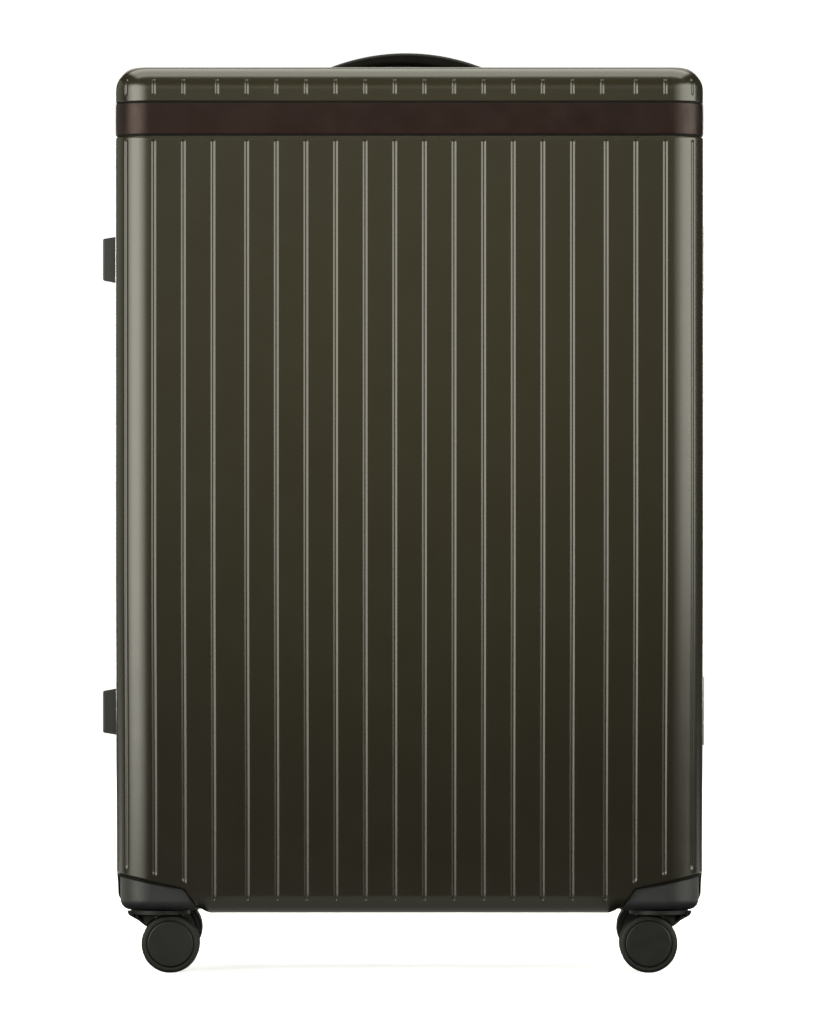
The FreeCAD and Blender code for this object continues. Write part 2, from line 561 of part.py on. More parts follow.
# ---------------------------------------------------------------- casters
arm = [(-28.2, 52.6), (-26.6, 49.6), (-18.4, 45.0), (-11.6, 39.2), (-2.2, 33.0), (21.8, 36.0), (19.8, 47.0), (19.2, 52.6)]
plate = [(-25.2, 51.5), (-18.4, 45.2), (-11.6, 39.2), (-1.2, 22.0), (3.8, 17.5), (9.8, 16.0), (16.3, 18.5), (18.8, 25.0), (18.8, 51.5)]
for tag, sw in (("front", swivel_x), ("rear", rear_swivel_x)):
    wx = trail - sw
    disc = cyl("fork_disc_" + tag, 25.4, 3.4, (-sw, -swivel_y, 50.5))
    yoke = prism("fork_yoke_" + tag, [(Q.of(a) - sw, Q.of(b)) for a, b in arm], "XZ", -swivel_y - 12, 24.0)
    room = cyl("fork_wheel_room_" + tag, wheel_r + 1.3, 60.0, (wx, -swivel_y - 30, wheel_r), "Y")
    yoke_top = cut("fork_yoke_top_" + tag, yoke, room)
    web = prism("fork_web_" + tag, [(Q.of(a) - sw, Q.of(b)) for a, b in plate], "XZ", -swivel_y - 3, 6.0)
    fork_tools = [cyl("fork_king_bore_" + tag, king_r + run_fit, 12.0, (-sw, -swivel_y, 50.0)),
                  cyl("fork_king_room_" + tag, 6.4, 5.0, (-sw, -swivel_y, 46.0)),
                  cyl("fork_axle_bore_" + tag, axle_r, 40.0, (wx, -swivel_y - 20, wheel_r), "Y")]
    for i, (y0, y1) in enumerate(((-14.0, -4.5), (4.5, 14.0))):
        tri = [(-25.2, 50.3), (-24.8, 49.9), (-20.4, 47.6), (-20.4, 50.3)]
        fork_tools.append(prism("fork_pocket_a%d_%s" % (i, tag), [(Q.of(a) - sw, Q.of(b)) for a, b in tri], "XZ", y0 - swivel_y, y1 - y0))
        tri = [(-18.8, 50.3), (-18.8, 46.7), (-17.1, 45.7), (-13.6, 43.2), (-13.6, 47.6), (-15.4, 50.3)]
        fork_tools.append(prism("fork_pocket_b%d_%s" % (i, tag), [(Q.of(a) - sw, Q.of(b)) for a, b in tri], "XZ", y0 - swivel_y, y1 - y0))
    fork = cut("fork_left_" + tag, fuse("fork_body_" + tag, disc, yoke_top, web), *fork_tools)
    axle = cyl("axle_left_" + tag, axle_r, 28.6, (wx, -swivel_y - 14.3, wheel_r), "Y")

    tyres_l, hubs_l = [], []
    for i, sgn in enumerate((-1, 1)):
        key = "%d_%s" % (i, tag)
        y0 = -swivel_y - wheel_in - wheel_w if sgn < 0 else -swivel_y + wheel_in
        t = cyl("tyre_disc" + key, wheel_r, wheel_w, (wx, y0, wheel_r), "Y")
        t = fillet("tyre_round" + key, t, 3.0, lambda bb, e: bb.YLength < 0.1)
        tyres_l.append(cut("tyre" + key, t, cyl("tyre_seat" + key, hub_r, wheel_w + 2, (wx, y0 - 1, wheel_r), "Y")))
        # hub drum with a domed cap on its outer face
        face = -swivel_y - wheel_in - wheel_w + 1.6 if sgn < 0 else -swivel_y + wheel_in + wheel_w - 1.6
        drum = cyl("hub_drum" + key, hub_r, wheel_w - 1.8, (wx, y0 + 1.6 if sgn < 0 else y0 + 0.2, wheel_r), "Y")
        bore = cyl("hub_bore" + key, axle_r + run_fit, wheel_w + 1.2, (wx, y0 + 1.0 if sgn < 0 else y0 - 2.2, wheel_r), "Y")
        cap = cyl("hub_cap_disc" + key, cap_r, 2.6, (wx, face - 2.6 if sgn < 0 else face, wheel_r), "Y")
        edge = (face - 2.6).v if sgn < 0 else (face + 2.6).v
        cap = fillet("hub_cap_round" + key, cap, 1.2, lambda bb, e, edge=edge: near(bb.YMin, edge) or near(bb.YMax, edge))
        hubs_l.append(cut("hub" + key, drum, bore))
        hubs_l.append(cap)
    tyres = group("tyres_left_" + tag, *tyres_l)
    hubs = group("hubs_left_" + tag, *hubs_l)
    for kind, o in (("fork", fork), ("axle", axle), ("tyres", tyres), ("hubs", hubs)):
        if tag == "front":
            left = node("caster_fl_" + kind, o)
            node("caster_fr_" + kind, mirror("caster_fr_%s_m" % kind, left, (1, 0, 0)))
        else:
            left = node("caster_rl_" + kind, mirror("caster_rl_%s_m" % kind, o, (0, 1, 0)))
            node("caster_rr_" + kind, mirror("caster_rr_%s_m" % kind, left, (1, 0, 0)))


# ---------------------------------------------------------------- trolley
def tube(name, sx, w, d, z0, z1, r):
    a = box(name + "_out", (tube_x * sx - w / 2, tube_x * sx + w / 2), (tube_y - d / 2, tube_y + d / 2), (z0, z1))
    a = fillet(name + "_outr", a, r, lambda bb, e: upright(bb))
    b = box(name + "_in", (tube_x * sx - w / 2 + tube_t, tube_x * sx + w / 2 - tube_t),
            (tube_y - d / 2 + tube_t, tube_y + d / 2 - tube_t), (Q.of(z0) - 1, Q.of(z1) + 1))
    b = fillet(name + "_inr", b, r - tube_t, lambda bb, e: upright(bb))
    return cut(name, a, b)


sleeves = []
for s in (-1, 1):
    body = tube("sleeve%d" % (s + 1), s, sleeve_w, sleeve_d, 98.0, tray_z - 0.05, Q.of(4.0))
    collar = box("sleeve_collar%d" % (s + 1), (tube_x * s - 12.5, tube_x * s + 12.5), (106.0, 134.0), (tray_z - 3.5, tray_z - 0.05))
    mouth = box("sleeve_mouth%d" % (s + 1), (tube_x * s - sleeve_w / 2 + tube_t, tube_x * s + sleeve_w / 2 - tube_t),
                (tube_y - sleeve_d / 2 + tube_t, tube_y + sleeve_d / 2 - tube_t), (tray_z - 8, tray_z + 4))
    mouth = fillet("sleeve_mouth_r%d" % (s + 1), mouth, 4 - tube_t, lambda bb, e: upright(bb))
    sleeves.append(fuse("sleeve_whole%d" % (s + 1), body, cut("sleeve_collar_ring%d" % (s + 1), collar, mouth)))
node("trolley_sleeves", group("sleeve_pair", *sleeves))
node("trolley_mid_tubes", group("mid_pair", *[tube("mid%d" % (s + 1), s, mid_w, mid_d, 108.0, Q.of(762.0), Q.of(3.6)) for s in (-1, 1)]))
node("trolley_inner_tubes", group("inner_pair", *[tube("inner%d" % (s + 1), s, inner_w, inner_d, 116.0, Q.of(770.0), Q.of(3.2)) for s in (-1, 1)]))

tray = box("tray_body", (-108.0, 108.0), (103.0, 137.0), (tray_z, case_top + 0.5))
tray = fillet("tray_body_round", tray, 4.0, lambda bb, e: upright(bb))
flange = box("tray_flange", (-113.0, 113.0), (98.0, 140.5), (case_top, case_top + 1.6))
flange = fillet("tray_flange_plan", flange, 8.0, lambda bb, e: upright(bb))
ft = (case_top + 1.6).v
flange = fillet("tray_flange_round", flange, 1.0, lambda bb, e: near(bb.ZMin, ft))
room = box("tray_room", (-105.6, 105.6), (105.4, 134.6), (tray_z + 2.6, case_top + 6))
room = fillet("tray_room_round", room, 3.0, lambda bb, e: upright(bb))
tray_tools = [room]
for s in (-1, 1):
    h = box("tray_tube_hole%d" % (s + 1), (tube_x * s - mid_w / 2 - 0.3, tube_x * s + mid_w / 2 + 0.3),
            (105.4, 134.6), (tray_z - 4, tray_z + 8))
    tray_tools.append(h)
node("trolley_tray", cut("trolley_tray_cut", fuse("trolley_tray_body", tray, flange), *tray_tools))

feet = []
for s in (-1, 1):
    f = box("trolley_foot_block%d" % (s + 1), (tube_x * s - 15, tube_x * s + 15), (108.0, 132.0), (59.2, 112.0))
    f = fillet("trolley_foot_round%d" % (s + 1), f, 4.0, lambda bb, e: upright(bb))
    h = box("trolley_foot_seat%d" % (s + 1), (tube_x * s - sleeve_w / 2, tube_x * s + sleeve_w / 2),
            (tube_y - sleeve_d / 2, tube_y + sleeve_d / 2), (98.0, 130.0))
    h = fillet("trolley_foot_seat_r%d" % (s + 1), h, 4.0, lambda bb, e: upright(bb))
    feet.append(cut("trolley_foot%d" % (s + 1), f, h))
node("trolley_feet", group("trolley_foot_pair", *feet))

cov_a = box("cover_out", (-102.0, 102.0), (103.9, 152.4), (68.6, 752.0))
cov_a = fillet("cover_out_round", cov_a, 8.0, lambda bb, e: upright(bb) and bb.YMin < 110)
cov_b = box("cover_in", (-100.4, 100.4), (105.5, 160.0), (50.0, 760.0))
cov_b = fillet("cover_in_round", cov_b, 6.4, lambda bb, e: upright(bb) and bb.YMin < 110)
node("trolley_cover", cut("trolley_cover_cut", cov_a, cov_b))

gr = box("grip_bar", (-100.6, 100.6), (110.2, 129.8), (764.0, 784.0))
gr = fillet("grip_ends", gr, 6.0, lambda bb, e: upright(bb))
gr = fillet("grip_edges", gr, 3.5, lambda bb, e: near(bb.ZMin, 784.0) or near(bb.ZMax, 764.0))
grip_tools = [box("grip_button_room", (-22.4, 22.4), (113.6, 126.4), (777.0, 790.0))]
for s in (-1, 1):
    h = box("grip_tube_seat%d" % (s + 1), (tube_x * s - inner_w / 2, tube_x * s + inner_w / 2),
            (tube_y - inner_d / 2, tube_y + inner_d / 2), (760.0, 770.0))
    grip_tools.append(fillet("grip_tube_seat_r%d" % (s + 1), h, 3.2, lambda bb, e: upright(bb)))
node("trolley_grip", cut("trolley_grip_cut", gr, *grip_tools))
bt = box("grip_button_box", (-22.0, 22.0), (114.0, 126.0), (780.0, 785.2))
bt = fillet("grip_button_ends", bt, 4.0, lambda bb, e: upright(bb))
node("trolley_button", fillet("grip_button_edges", bt, 1.0, lambda bb, e: near(bb.ZMin, 785.2)))

# ---------------------------------------------------------------- top handle
bow_c = bow_top - bow_ro
ring_o = cyl("bow_outer", bow_ro, bow_w, (0.0, bow_y - bow_w / 2, bow_c), "Y")
ring_i = cyl("bow_inner", bow_ro - bow_t, bow_w + 4, (0.0, bow_y - bow_w / 2 - 2, bow_c), "Y")
span = box("bow_span", (-74.0, 74.0), (0.0, 100.0), (783.0, 830.0))
arc = common("bow_arc", cut("bow_ring", ring_o, ring_i), span)
bits = [arc]
for s in (-1, 1):
    a, b = (62.0, 92.0) if s > 0 else (-92.0, -62.0)
    e = box("bow_end%d" % (s + 1), (a, b), (bow_y - bow_w / 2, bow_y + bow_w / 2), (783.0, 788.4))
    tip = 92.0 * s + shift_x.v
    bits.append(fillet("bow_end_round%d" % (s + 1), e, 6.0, lambda bb, e, tip=tip: upright(bb) and near(bb.XMin, tip)))
    bits.append(cyl("bow_post%d" % (s + 1), 3.5, 35.0, (bow_post * s, bow_y, 750.0)))
    bits.append(cyl("bow_stop%d" % (s + 1), 5.5, 3.0, (bow_post * s, bow_y, 750.0)))
node("top_handle", fuse("top_handle_fused", *bits))

mounts = []
for s in (-1, 1):
    a, b = (62.0, 98.0) if s > 0 else (-98.0, -62.0)
    m = box("bow_mount_block%d" % (s + 1), (a, b), (bow_y - 17, bow_y + 17), (case_top, 788.8))
    tip = 98.0 * s + shift_x.v
    m = fillet("bow_mount_plan%d" % (s + 1), m, 9.0, lambda bb, e, tip=tip: upright(bb) and near(bb.XMin, tip))
    m = fillet("bow_mount_edge%d" % (s + 1), m, 1.4, lambda bb, e: near(bb.ZMin, 788.8))
    c, d = (60.0, 92.6) if s > 0 else (-92.6, -60.0)
    slot = box("bow_mount_slot%d" % (s + 1), (c, d), (bow_y - bow_w / 2 - 0.5, bow_y + bow_w / 2 + 0.5), (782.6, 800.0))
    tip = 92.6 * s + shift_x.v
    slot = fillet("bow_mount_slot_r%d" % (s + 1), slot, 6.2, lambda bb, e, tip=tip: upright(bb) and near(bb.XMin, tip))
    guide = cyl("bow_guide%d" % (s + 1), 7.0, 16.0, (bow_post * s, bow_y, 765.5))
    bore = cyl("bow_guide_bore%d" % (s + 1), 3.5 + run_fit, 60.0, (bow_post * s, bow_y, 740.0))
    mounts.append(cut("bow_mount%d" % (s + 1), fuse("bow_mount_body%d" % (s + 1), cut("bow_mount_open%d" % (s + 1), m, slot), guide), bore))
node("top_handle_mounts", group("bow_mount_pair", *mounts))

# ---------------------------------------------------------------- side handle
sx1 = -half_w - 4.6
st = box("side_strap", (sx1 - 4, sx1), (side_y - 13, side_y + 13), (side_z - side_len / 2, side_z + side_len / 2))
st = fillet("side_strap_ends", st, 8.0, lambda bb, e: bb.XLength > 1 and flat(bb.YLength) and flat(bb.ZLength))
so = (sx1 - 4 + shift_x).v
st = fillet("side_strap_round", st, 1.4, lambda bb, e: near(bb.XMax, so))
bits = [st]
for s in (-1, 1):
    zc = side_z + 83 * s
    bits.append(cyl("side_post%d" % (s + 1), 3.0, 30.0, (sx1 - 2, side_y, zc), "X"))
    bits.append(cyl("side_stop%d" % (s + 1), 5.0, 3.0, (sx1 + 25, side_y, zc), "X"))
node("side_handle", fuse("side_handle_fused", *bits))
mounts = []
for s in (-1, 1):
    zc = side_z + 83 * s
    m = box("side_mount_block%d" % (s + 1), (-half_w - 4.2, -half_w), (side_y - 15, side_y + 15), (zc - 15, zc + 15))
    m = fillet("side_mount_round%d" % (s + 1), m, 6.0, lambda bb, e: bb.XLength > 1 and flat(bb.YLength) and flat(bb.ZLength))
    guide = cyl("side_guide%d" % (s + 1), 6.0, 11.0, (-half_w - 1, side_y, zc), "X")
    bore = cyl("side_guide_bore%d" % (s + 1), 3.0 + run_fit, 60.0, (-half_w - 20, side_y, zc), "X")
    mounts.append(cut("side_mount%d" % (s + 1), fuse("side_mount_body%d" % (s + 1), m, guide), bore))
node("side_handle_mounts", group("side_mount_pair", *mounts))

# ---------------------------------------------------------------- linings, straps, pocket
ln_a = half_block("lining_out", Q.of(6.0), Q.of(-3.0))
ln_b = half_block("lining_in", Q.of(7.2), Q.of(4.0))
wells_a, wells_b = [], []
for i, s in enumerate((-1, 1)):
    x0, x1 = (-half_w - 5, -half_w + 77) if s < 0 else (half_w - 77, half_w + 5)
    wells_a.append(box("well_a%d" % i, (x0, x1), (-half_d - 5, -half_d + 77), (40.0, 96.0)))
    x0, x1 = (-half_w - 5, -half_w + 78.2) if s < 0 else (half_w - 78.2, half_w + 5)
    wells_b.append(box("well_b%d" % i, (x0, x1), (-half_d - 5, -half_d + 78.2), (40.0, 97.2)))
lining = cut("lining_skin", cut("lining_outer_wells", ln_a, *wells_a), cut("lining_inner_wells", ln_b, *wells_b))
node("front_lining", lining)
lr = mirror("rear_lining_base", lining, (0, 1, 0))
ln_tools = [box("lining_tray_hole", (-109.0, 109.0), (102.0, 138.0), (740.0, 790.0))]
for s in (-1, 1):
    ln_tools.append(cyl("lining_bow_hole%d" % (s + 1), 8.5, 40.0, (bow_post * s, bow_y, 745.0)))
    ln_tools.append(cyl("lining_side_hole%d" % (s + 1), 8.0, 40.0, (-half_w - 5, side_y, side_z + 83 * s), "X"))
node("rear_lining", cut("rear_lining_cut", lr, *ln_tools))

straps, buckles = [], []
for i, z in enumerate((300.0, 540.0)):
    s1 = box("strap_web%d" % i, (-245.4, 245.4), (102.0, 103.5), (z - 15, z + 15))
    straps.append(s1)
    b1 = box("buckle_male%d" % i, (-34.0, -2.2), (96.5, 101.6), (z - 17, z + 17))
    buckles.append(fillet("buckle_male_r%d" % i, b1, 2.0, lambda bb, e: bb.YMax < 96.6))
    b2 = box("buckle_female%d" % i, (-1.8, 34.0), (95.5, 101.6), (z - 19, z + 19))
    buckles.append(fillet("buckle_female_r%d" % i, b2, 2.4, lambda bb, e: bb.YMax < 95.6))
node("packing_straps", group("packing_strap_set", *straps))
node("strap_buckles", group("strap_buckle_set", *buckles))
pk = box("pocket_panel", (-190.0, 190.0), (-152.5, -151.1), (130.0, 650.0))
node("front_pocket", fillet("pocket_panel_round", pk, 25.0, lambda bb, e: bb.YLength > 1 and flat(bb.XLength) and flat(bb.ZLength)))

# ---------------------------------------------------------------- write the nodes
doc.recompute()
bad = [o.Name for o in doc.Objects if "Invalid" in o.State or "Error" in o.State]
if bad:
    raise RuntimeError("objects in error: %s" % ", ".join(bad))
for label in order:
    shape = parts[label].Shape
    if shape.isNull() or not shape.isValid() or not shape.Solids:
        raise RuntimeError("bad shape: " + label)
os.makedirs("parts", exist_ok=True)
for label in order:
    parts[label].Shape.exportStep("parts/%s.step" % label)
print("nodes", len(order))
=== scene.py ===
import json
import math

import bmesh
import bpy
import numpy as np
from mathutils import Matrix, Vector


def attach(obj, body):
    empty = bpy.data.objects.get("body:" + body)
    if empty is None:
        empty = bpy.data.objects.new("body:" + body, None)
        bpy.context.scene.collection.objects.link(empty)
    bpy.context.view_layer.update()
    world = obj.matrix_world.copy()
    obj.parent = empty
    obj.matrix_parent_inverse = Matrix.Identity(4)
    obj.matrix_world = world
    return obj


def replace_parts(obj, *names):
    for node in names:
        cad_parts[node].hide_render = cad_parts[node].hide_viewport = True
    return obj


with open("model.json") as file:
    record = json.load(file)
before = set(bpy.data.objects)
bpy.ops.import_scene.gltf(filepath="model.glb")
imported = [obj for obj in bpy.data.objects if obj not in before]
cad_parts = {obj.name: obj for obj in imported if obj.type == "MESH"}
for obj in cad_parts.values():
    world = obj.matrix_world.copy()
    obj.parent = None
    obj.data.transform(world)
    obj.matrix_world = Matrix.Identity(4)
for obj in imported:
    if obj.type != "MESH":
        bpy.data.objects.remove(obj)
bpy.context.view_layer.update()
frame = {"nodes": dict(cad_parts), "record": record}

NODES = frame["nodes"]
MM = 0.001
SX = 4.7                      # case centre plane in x
HW, HD = 253.0, 160.0         # half width and half depth of the case
TOP, BOT = 780.0, 52.0
PR, TR, BR = 30.0, 20.0, 16.0  # plan corner, top edge and bottom edge radii
RIM = 4.0
FLAT = HW - PR
ARC = PR * math.pi / 2
SMAX = FLAT + ARC + (HD - PR - RIM)
SLO = (HW, HD)


# ------------------------------------------------------------------ materials
class Mat:
    """Small node-building helper around one Principled material."""

    def __init__(self, name, colour, rough, metal=0.0, **sockets):
        self.m = bpy.data.materials.new(name)
        self.m.use_nodes = True
        self.nt = self.m.node_tree
        self.b = self.nt.nodes["Principled BSDF"]
        self.b.inputs["Base Color"].default_value = (*colour, 1.0)
        self.b.inputs["Roughness"].default_value = rough
        self.b.inputs["Metallic"].default_value = metal
        for k, v in sockets.items():
            self.b.inputs[k.replace("_", " ")].default_value = v
        self.m.diffuse_color = (*colour, 1.0)
        self.tc = self.nt.nodes.new("ShaderNodeTexCoord")
        self.height = None

    def node(self, kind, **inputs):
        n = self.nt.nodes.new(kind)
        for k, v in inputs.items():
            k = k.replace("_", " ")
            if k in n.inputs:
                if isinstance(v, bpy.types.NodeSocket):
                    self.nt.links.new(v, n.inputs[k])
                else:
                    n.inputs[k].default_value = v
        return n

    def coords(self, scale=(1, 1, 1), turn=(0, 0, 0)):
        n = self.nt.nodes.new("ShaderNodeMapping")
        n.inputs["Scale"].default_value = scale
        n.inputs["Rotation"].default_value = turn
        self.nt.links.new(self.tc.outputs["Object"], n.inputs["Vector"])
        return n.outputs["Vector"]

    def noise(self, scale, detail=3.0, rough=0.5, stretch=(1, 1, 1), distort=0.0):
        n = self.node("ShaderNodeTexNoise", Vector=self.coords(stretch), Scale=scale, Detail=detail, Roughness=rough, Distortion=distort)
        return n.outputs["Fac"]

    def cells(self, scale, stretch=(1, 1, 1), feature="F1", rand=1.0):
        n = self.node("ShaderNodeTexVoronoi", Vector=self.coords(stretch), Scale=scale, Randomness=rand)
        n.feature = feature
        return n.outputs["Distance"]

    def wave(self, scale, turn=(0, 0, 0), distort=0.0, detail=2.0, direction="X", profile="SIN", stretch=(1, 1, 1)):
        n = self.node("ShaderNodeTexWave", Vector=self.coords(stretch, turn), Scale=scale, Distortion=distort, Detail=detail)
        n.bands_direction = direction
        n.wave_profile = profile
        return n.outputs["Fac"]

    def ramp(self, fac, stops):
        n = self.nt.nodes.new("ShaderNodeValToRGB")
        el = n.color_ramp.elements
        while len(el) < len(stops):
            el.new(0.5)
        for e, (p, c) in zip(el, stops):
            e.position = p
            e.color = (*c, 1.0) if len(c) == 3 else c
        self.nt.links.new(fac, n.inputs["Fac"])
        return n.outputs["Color"]

    def math(self, op, a, b):
        n = self.nt.nodes.new("ShaderNodeMath")
        n.operation = op
        for i, v in enumerate((a, b)):
            if isinstance(v, bpy.types.NodeSocket):
                self.nt.links.new(v, n.inputs[i])
            else:
                n.inputs[i].default_value = v
        return n.outputs[0]

    def vary_colour(self, fac, low, high, lo=0.35, hi=0.65):
        c = self.ramp(fac, [(lo, low), (hi, high)])
        self.nt.links.new(c, self.b.inputs["Base Color"])

    def vary_rough(self, fac, low, high, lo=0.3, hi=0.7):
        n = self.nt.nodes.new("ShaderNodeMapRange")
        n.inputs["From Min"].default_value = lo
        n.inputs["From Max"].default_value = hi
        n.inputs["To Min"].default_value = low
        n.inputs["To Max"].default_value = high
        self.nt.links.new(fac, n.inputs["Value"])
        self.nt.links.new(n.outputs["Result"], self.b.inputs["Roughness"])

    def bump(self, height, strength, depth_mm):
        n = self.nt.nodes.new("ShaderNodeBump")
        n.inputs["Strength"].default_value = strength
        n.inputs["Distance"].default_value = depth_mm * MM
        self.nt.links.new(height, n.inputs["Height"])
        if self.height is not None:
            self.nt.links.new(self.height, n.inputs["Normal"])
        self.height = n.outputs["Normal"]
        self.nt.links.new(self.height, self.b.inputs["Normal"])


def rgb(r, g, b):
    """8-bit display colour to linear."""
    def f(v):
        v /= 255.0
        return v / 12.92 if v <= 0.04045 else ((v + 0.055) / 1.055) ** 2.4
    return (f(r), f(g), f(b))


def scaled(c, k):
    return tuple(v * k for v in c)


def shell_material():
    base = (0.0066, 0.0059, 0.0033)
    m = Mat("shell", base, 0.22, Specular_IOR_Level=0.5)
    m.vary_colour(m.noise(7.0, 4.0, 0.6), scaled(base, 0.98), scaled(base, 1.02))
    m.vary_rough(m.noise(26.0, 5.0, 0.65), 0.205, 0.24)
    m.bump(m.noise(520.0, 2.0, 0.5), 0.004, 0.04)     # moulded skin, faint 2 mm orange peel
    return m.m


def leather(name, base, rough, grain_mm, depth, pores=True, gloss=0.45, tint=None):
    m = Mat(name, base, rough, Specular_IOR_Level=gloss)
    if tint:
        m.b.inputs["Specular Tint"].default_value = (*tint, 1.0)
    k = 1000.0 / grain_mm
    patch = m.noise(18.0, 5.0, 0.6)
    m.vary_colour(patch, scaled(base, 0.82), scaled(base, 1.16))
    m.vary_rough(m.noise(60.0, 4.0, 0.6), rough - 0.07, rough + 0.08)
    m.bump(m.cells(k, feature="DISTANCE_TO_EDGE"), 0.35, depth)
    m.bump(m.noise(k * 2.2, 3.0, 0.6), 0.18, depth * 0.6)
    if pores:
        m.bump(m.noise(k * 0.18, 2.0, 0.5), 0.10, depth * 2.0)
    return m.m


def moulding(name, base, rough, spark=0.5, depth=0.03, gloss=0.5):
    m = Mat(name, base, rough, Specular_IOR_Level=gloss)
    m.vary_colour(m.noise(34.0, 5.0, 0.6), scaled(base, 0.88), scaled(base, 1.12))
    m.vary_rough(m.noise(90.0, 4.0, 0.6), rough - 0.06, rough + 0.07)
    m.bump(m.cells(1000.0 / spark), 0.30, depth)
    m.bump(m.noise(240.0, 2.0, 0.5), 0.08, depth * 1.5)
    return m.m


def metal(name, base, rough, stretch=(1, 1, 60), brush=900.0, depth=0.01):
    m = Mat(name, base, rough, 1.0)
    line = m.noise(brush / 40.0, 6.0, 0.7, stretch)
    m.vary_colour(line, scaled(base, 0.9), scaled(base, 1.1))
    m.vary_rough(line, rough - 0.06, rough + 0.08)
    m.bump(m.noise(brush, 2.0, 0.5, stretch), 0.15, depth)
    return m.m


def twill(name, base, pitch_mm, depth=0.12):
    m = Mat(name, base, 0.82, Specular_IOR_Level=0.3)
    m.b.inputs["Sheen Weight"].default_value = 0.12
    m.b.inputs["Sheen Roughness"].default_value = 0.5
    k = 1000.0 / pitch_mm / 6.2832 * 6.2832 / 20.0
    a = m.wave(k * 20 / 6.2832 * 1.0, (0.0, 0.785, 0.0), 0.35, 2.0)
    b = m.wave(k * 20 / 6.2832 * 1.0, (0.785, 0.0, 0.785), 0.35, 2.0)
    weave = m.math("MULTIPLY", m.math("ADD", a, b), 0.5)
    fuzz = m.noise(220.0, 5.0, 0.65)
    m.vary_colour(m.math("ADD", m.math("MULTIPLY", weave, 0.5), m.math("MULTIPLY", fuzz, 0.5)), scaled(base, 0.70), scaled(base, 1.20), 0.25, 0.75)
    m.bump(weave, 0.45, depth)
    m.bump(m.noise(24.0, 3.0, 0.5), 0.12, 1.2)
    return m.m


def webbing(name, base):
    m = Mat(name, base, 0.72, Specular_IOR_Level=0.35)
    a = m.wave(170.0, (0, 0, 0), 0.2, 2.0, "X")
    b = m.wave(300.0, (0, 0, 0), 0.2, 2.0, "Z")
    w = m.math("MULTIPLY", a, b)
    m.vary_colour(w, scaled(base, 0.6), scaled(base, 1.3), 0.1, 0.8)
    m.bump(w, 0.5, 0.2)
    return m.m


def mesh_cloth(name, base):
    m = Mat(name, base, 0.75, Specular_IOR_Level=0.3)
    c = m.cells(420.0, (1, 0.0, 1), rand=0.25)
    m.vary_colour(c, scaled(base, 1.5), scaled(base, 0.25), 0.25, 0.55)
    m.bump(c, 0.6, 0.35)
    return m.m


def rubber(name, base, gloss=0.4):
    m = Mat(name, base, 0.62, Specular_IOR_Level=gloss)
    m.vary_colour(m.noise(55.0, 5.0, 0.65), scaled(base, 0.8), scaled(base, 1.35))
    m.vary_rough(m.noise(140.0, 4.0, 0.6), 0.55, 0.72)
    m.bump(m.noise(900.0, 3.0, 0.6), 0.2, 0.05)
    return m.m


M = {
    "shell": shell_material(),
    "band_leather": leather("band_leather", (0.0033, 0.0016, 0.0013), 0.37, 0.75, 0.030, True, 0.24, (1.0, 0.80, 0.76)),
    "handle_leather": leather("handle_leather", (0.0008, 0.0007, 0.0004), 0.42, 0.9, 0.05, True, 0.11),
    "stitch": moulding("stitch_thread", rgb(52, 44, 38), 0.6, 0.4, 0.06),
    "frame_alloy": metal("frame_alloy", rgb(92, 90, 86), 0.36),
    # near-black material for the corner gap beads and the band backing: painted shade for the shadow lines in those
    # gaps
    "painted_shade_black": rubber("painted_gap_shade", (0.0012, 0.0012, 0.0012), 0.12),
    "seal_rubber": rubber("seal_rubber", rgb(24, 24, 24)),
    "corner_moulding": moulding("corner_moulding", (0.0092, 0.0099, 0.0116), 0.46, 0.55, 0.03, 0.4),
    "pin_steel": metal("pin_steel", rgb(190, 190, 188), 0.28, (1, 1, 30)),
    "screw_steel": metal("screw_steel", rgb(70, 70, 70), 0.38, (6, 6, 1)),
    "hinge_steel": metal("hinge_steel", rgb(112, 111, 108), 0.34),
    "latch_moulding": moulding("latch_moulding", (0.0102, 0.0104, 0.0104), 0.48, 0.55, 0.03, 0.3),
    "lever_metal": moulding("lever_metal", rgb(50, 50, 48), 0.36, 0.35, 0.015),
    "dial_moulding": moulding("dial_moulding", rgb(26, 26, 26), 0.32, 0.4, 0.01),
    "digit": moulding("dial_digit", rgb(225, 224, 218), 0.5, 0.3, 0.005),
    "tube_alloy": metal("tube_alloy", rgb(120, 119, 116), 0.30),
    "tray_moulding": moulding("tray_moulding", rgb(36, 36, 35), 0.52, 0.6, 0.03),
    "grip_moulding": moulding("grip_moulding", rgb(32, 32, 31), 0.50, 0.45, 0.025),
    "button_moulding": moulding("button_moulding", rgb(52, 52, 50), 0.42, 0.45, 0.02),
    "mount_moulding": moulding("mount_moulding", rgb(34, 33, 32), 0.46, 0.5, 0.03),
    "lining_fabric": twill("lining_fabric", rgb(92, 84, 72), 1.1),
    "pocket_mesh": mesh_cloth("pocket_mesh", rgb(48, 44, 40)),
    "strap_webbing": webbing("strap_webbing", rgb(40, 37, 34)),
    "buckle_moulding": moulding("buckle_moulding", rgb(30, 30, 30), 0.40, 0.5, 0.02),
    "caster_moulding": moulding("caster_moulding", (0.0032, 0.0033, 0.0032), 0.52, 0.5, 0.03, 0.24),
    "tyre_rubber": rubber("tyre_rubber", (0.0042, 0.0044, 0.0042), 0.3),
    "hub_moulding": moulding("hub_moulding", (0.0048, 0.0050, 0.0048), 0.44, 0.5, 0.025, 0.3),
    "piping": leather("piping", rgb(44, 36, 31), 0.5, 0.6, 0.04),
    "zip": metal("zip_metal", rgb(96, 92, 86), 0.35, (1, 1, 1), 600.0),
}
SLOT_OF = {s["node"]: s["material_slot"] for s in frame["record"]["subparts"]}
for name, ob in NODES.items():
    ob.data.materials.clear()
    ob.data.materials.append(M[SLOT_OF[name]])


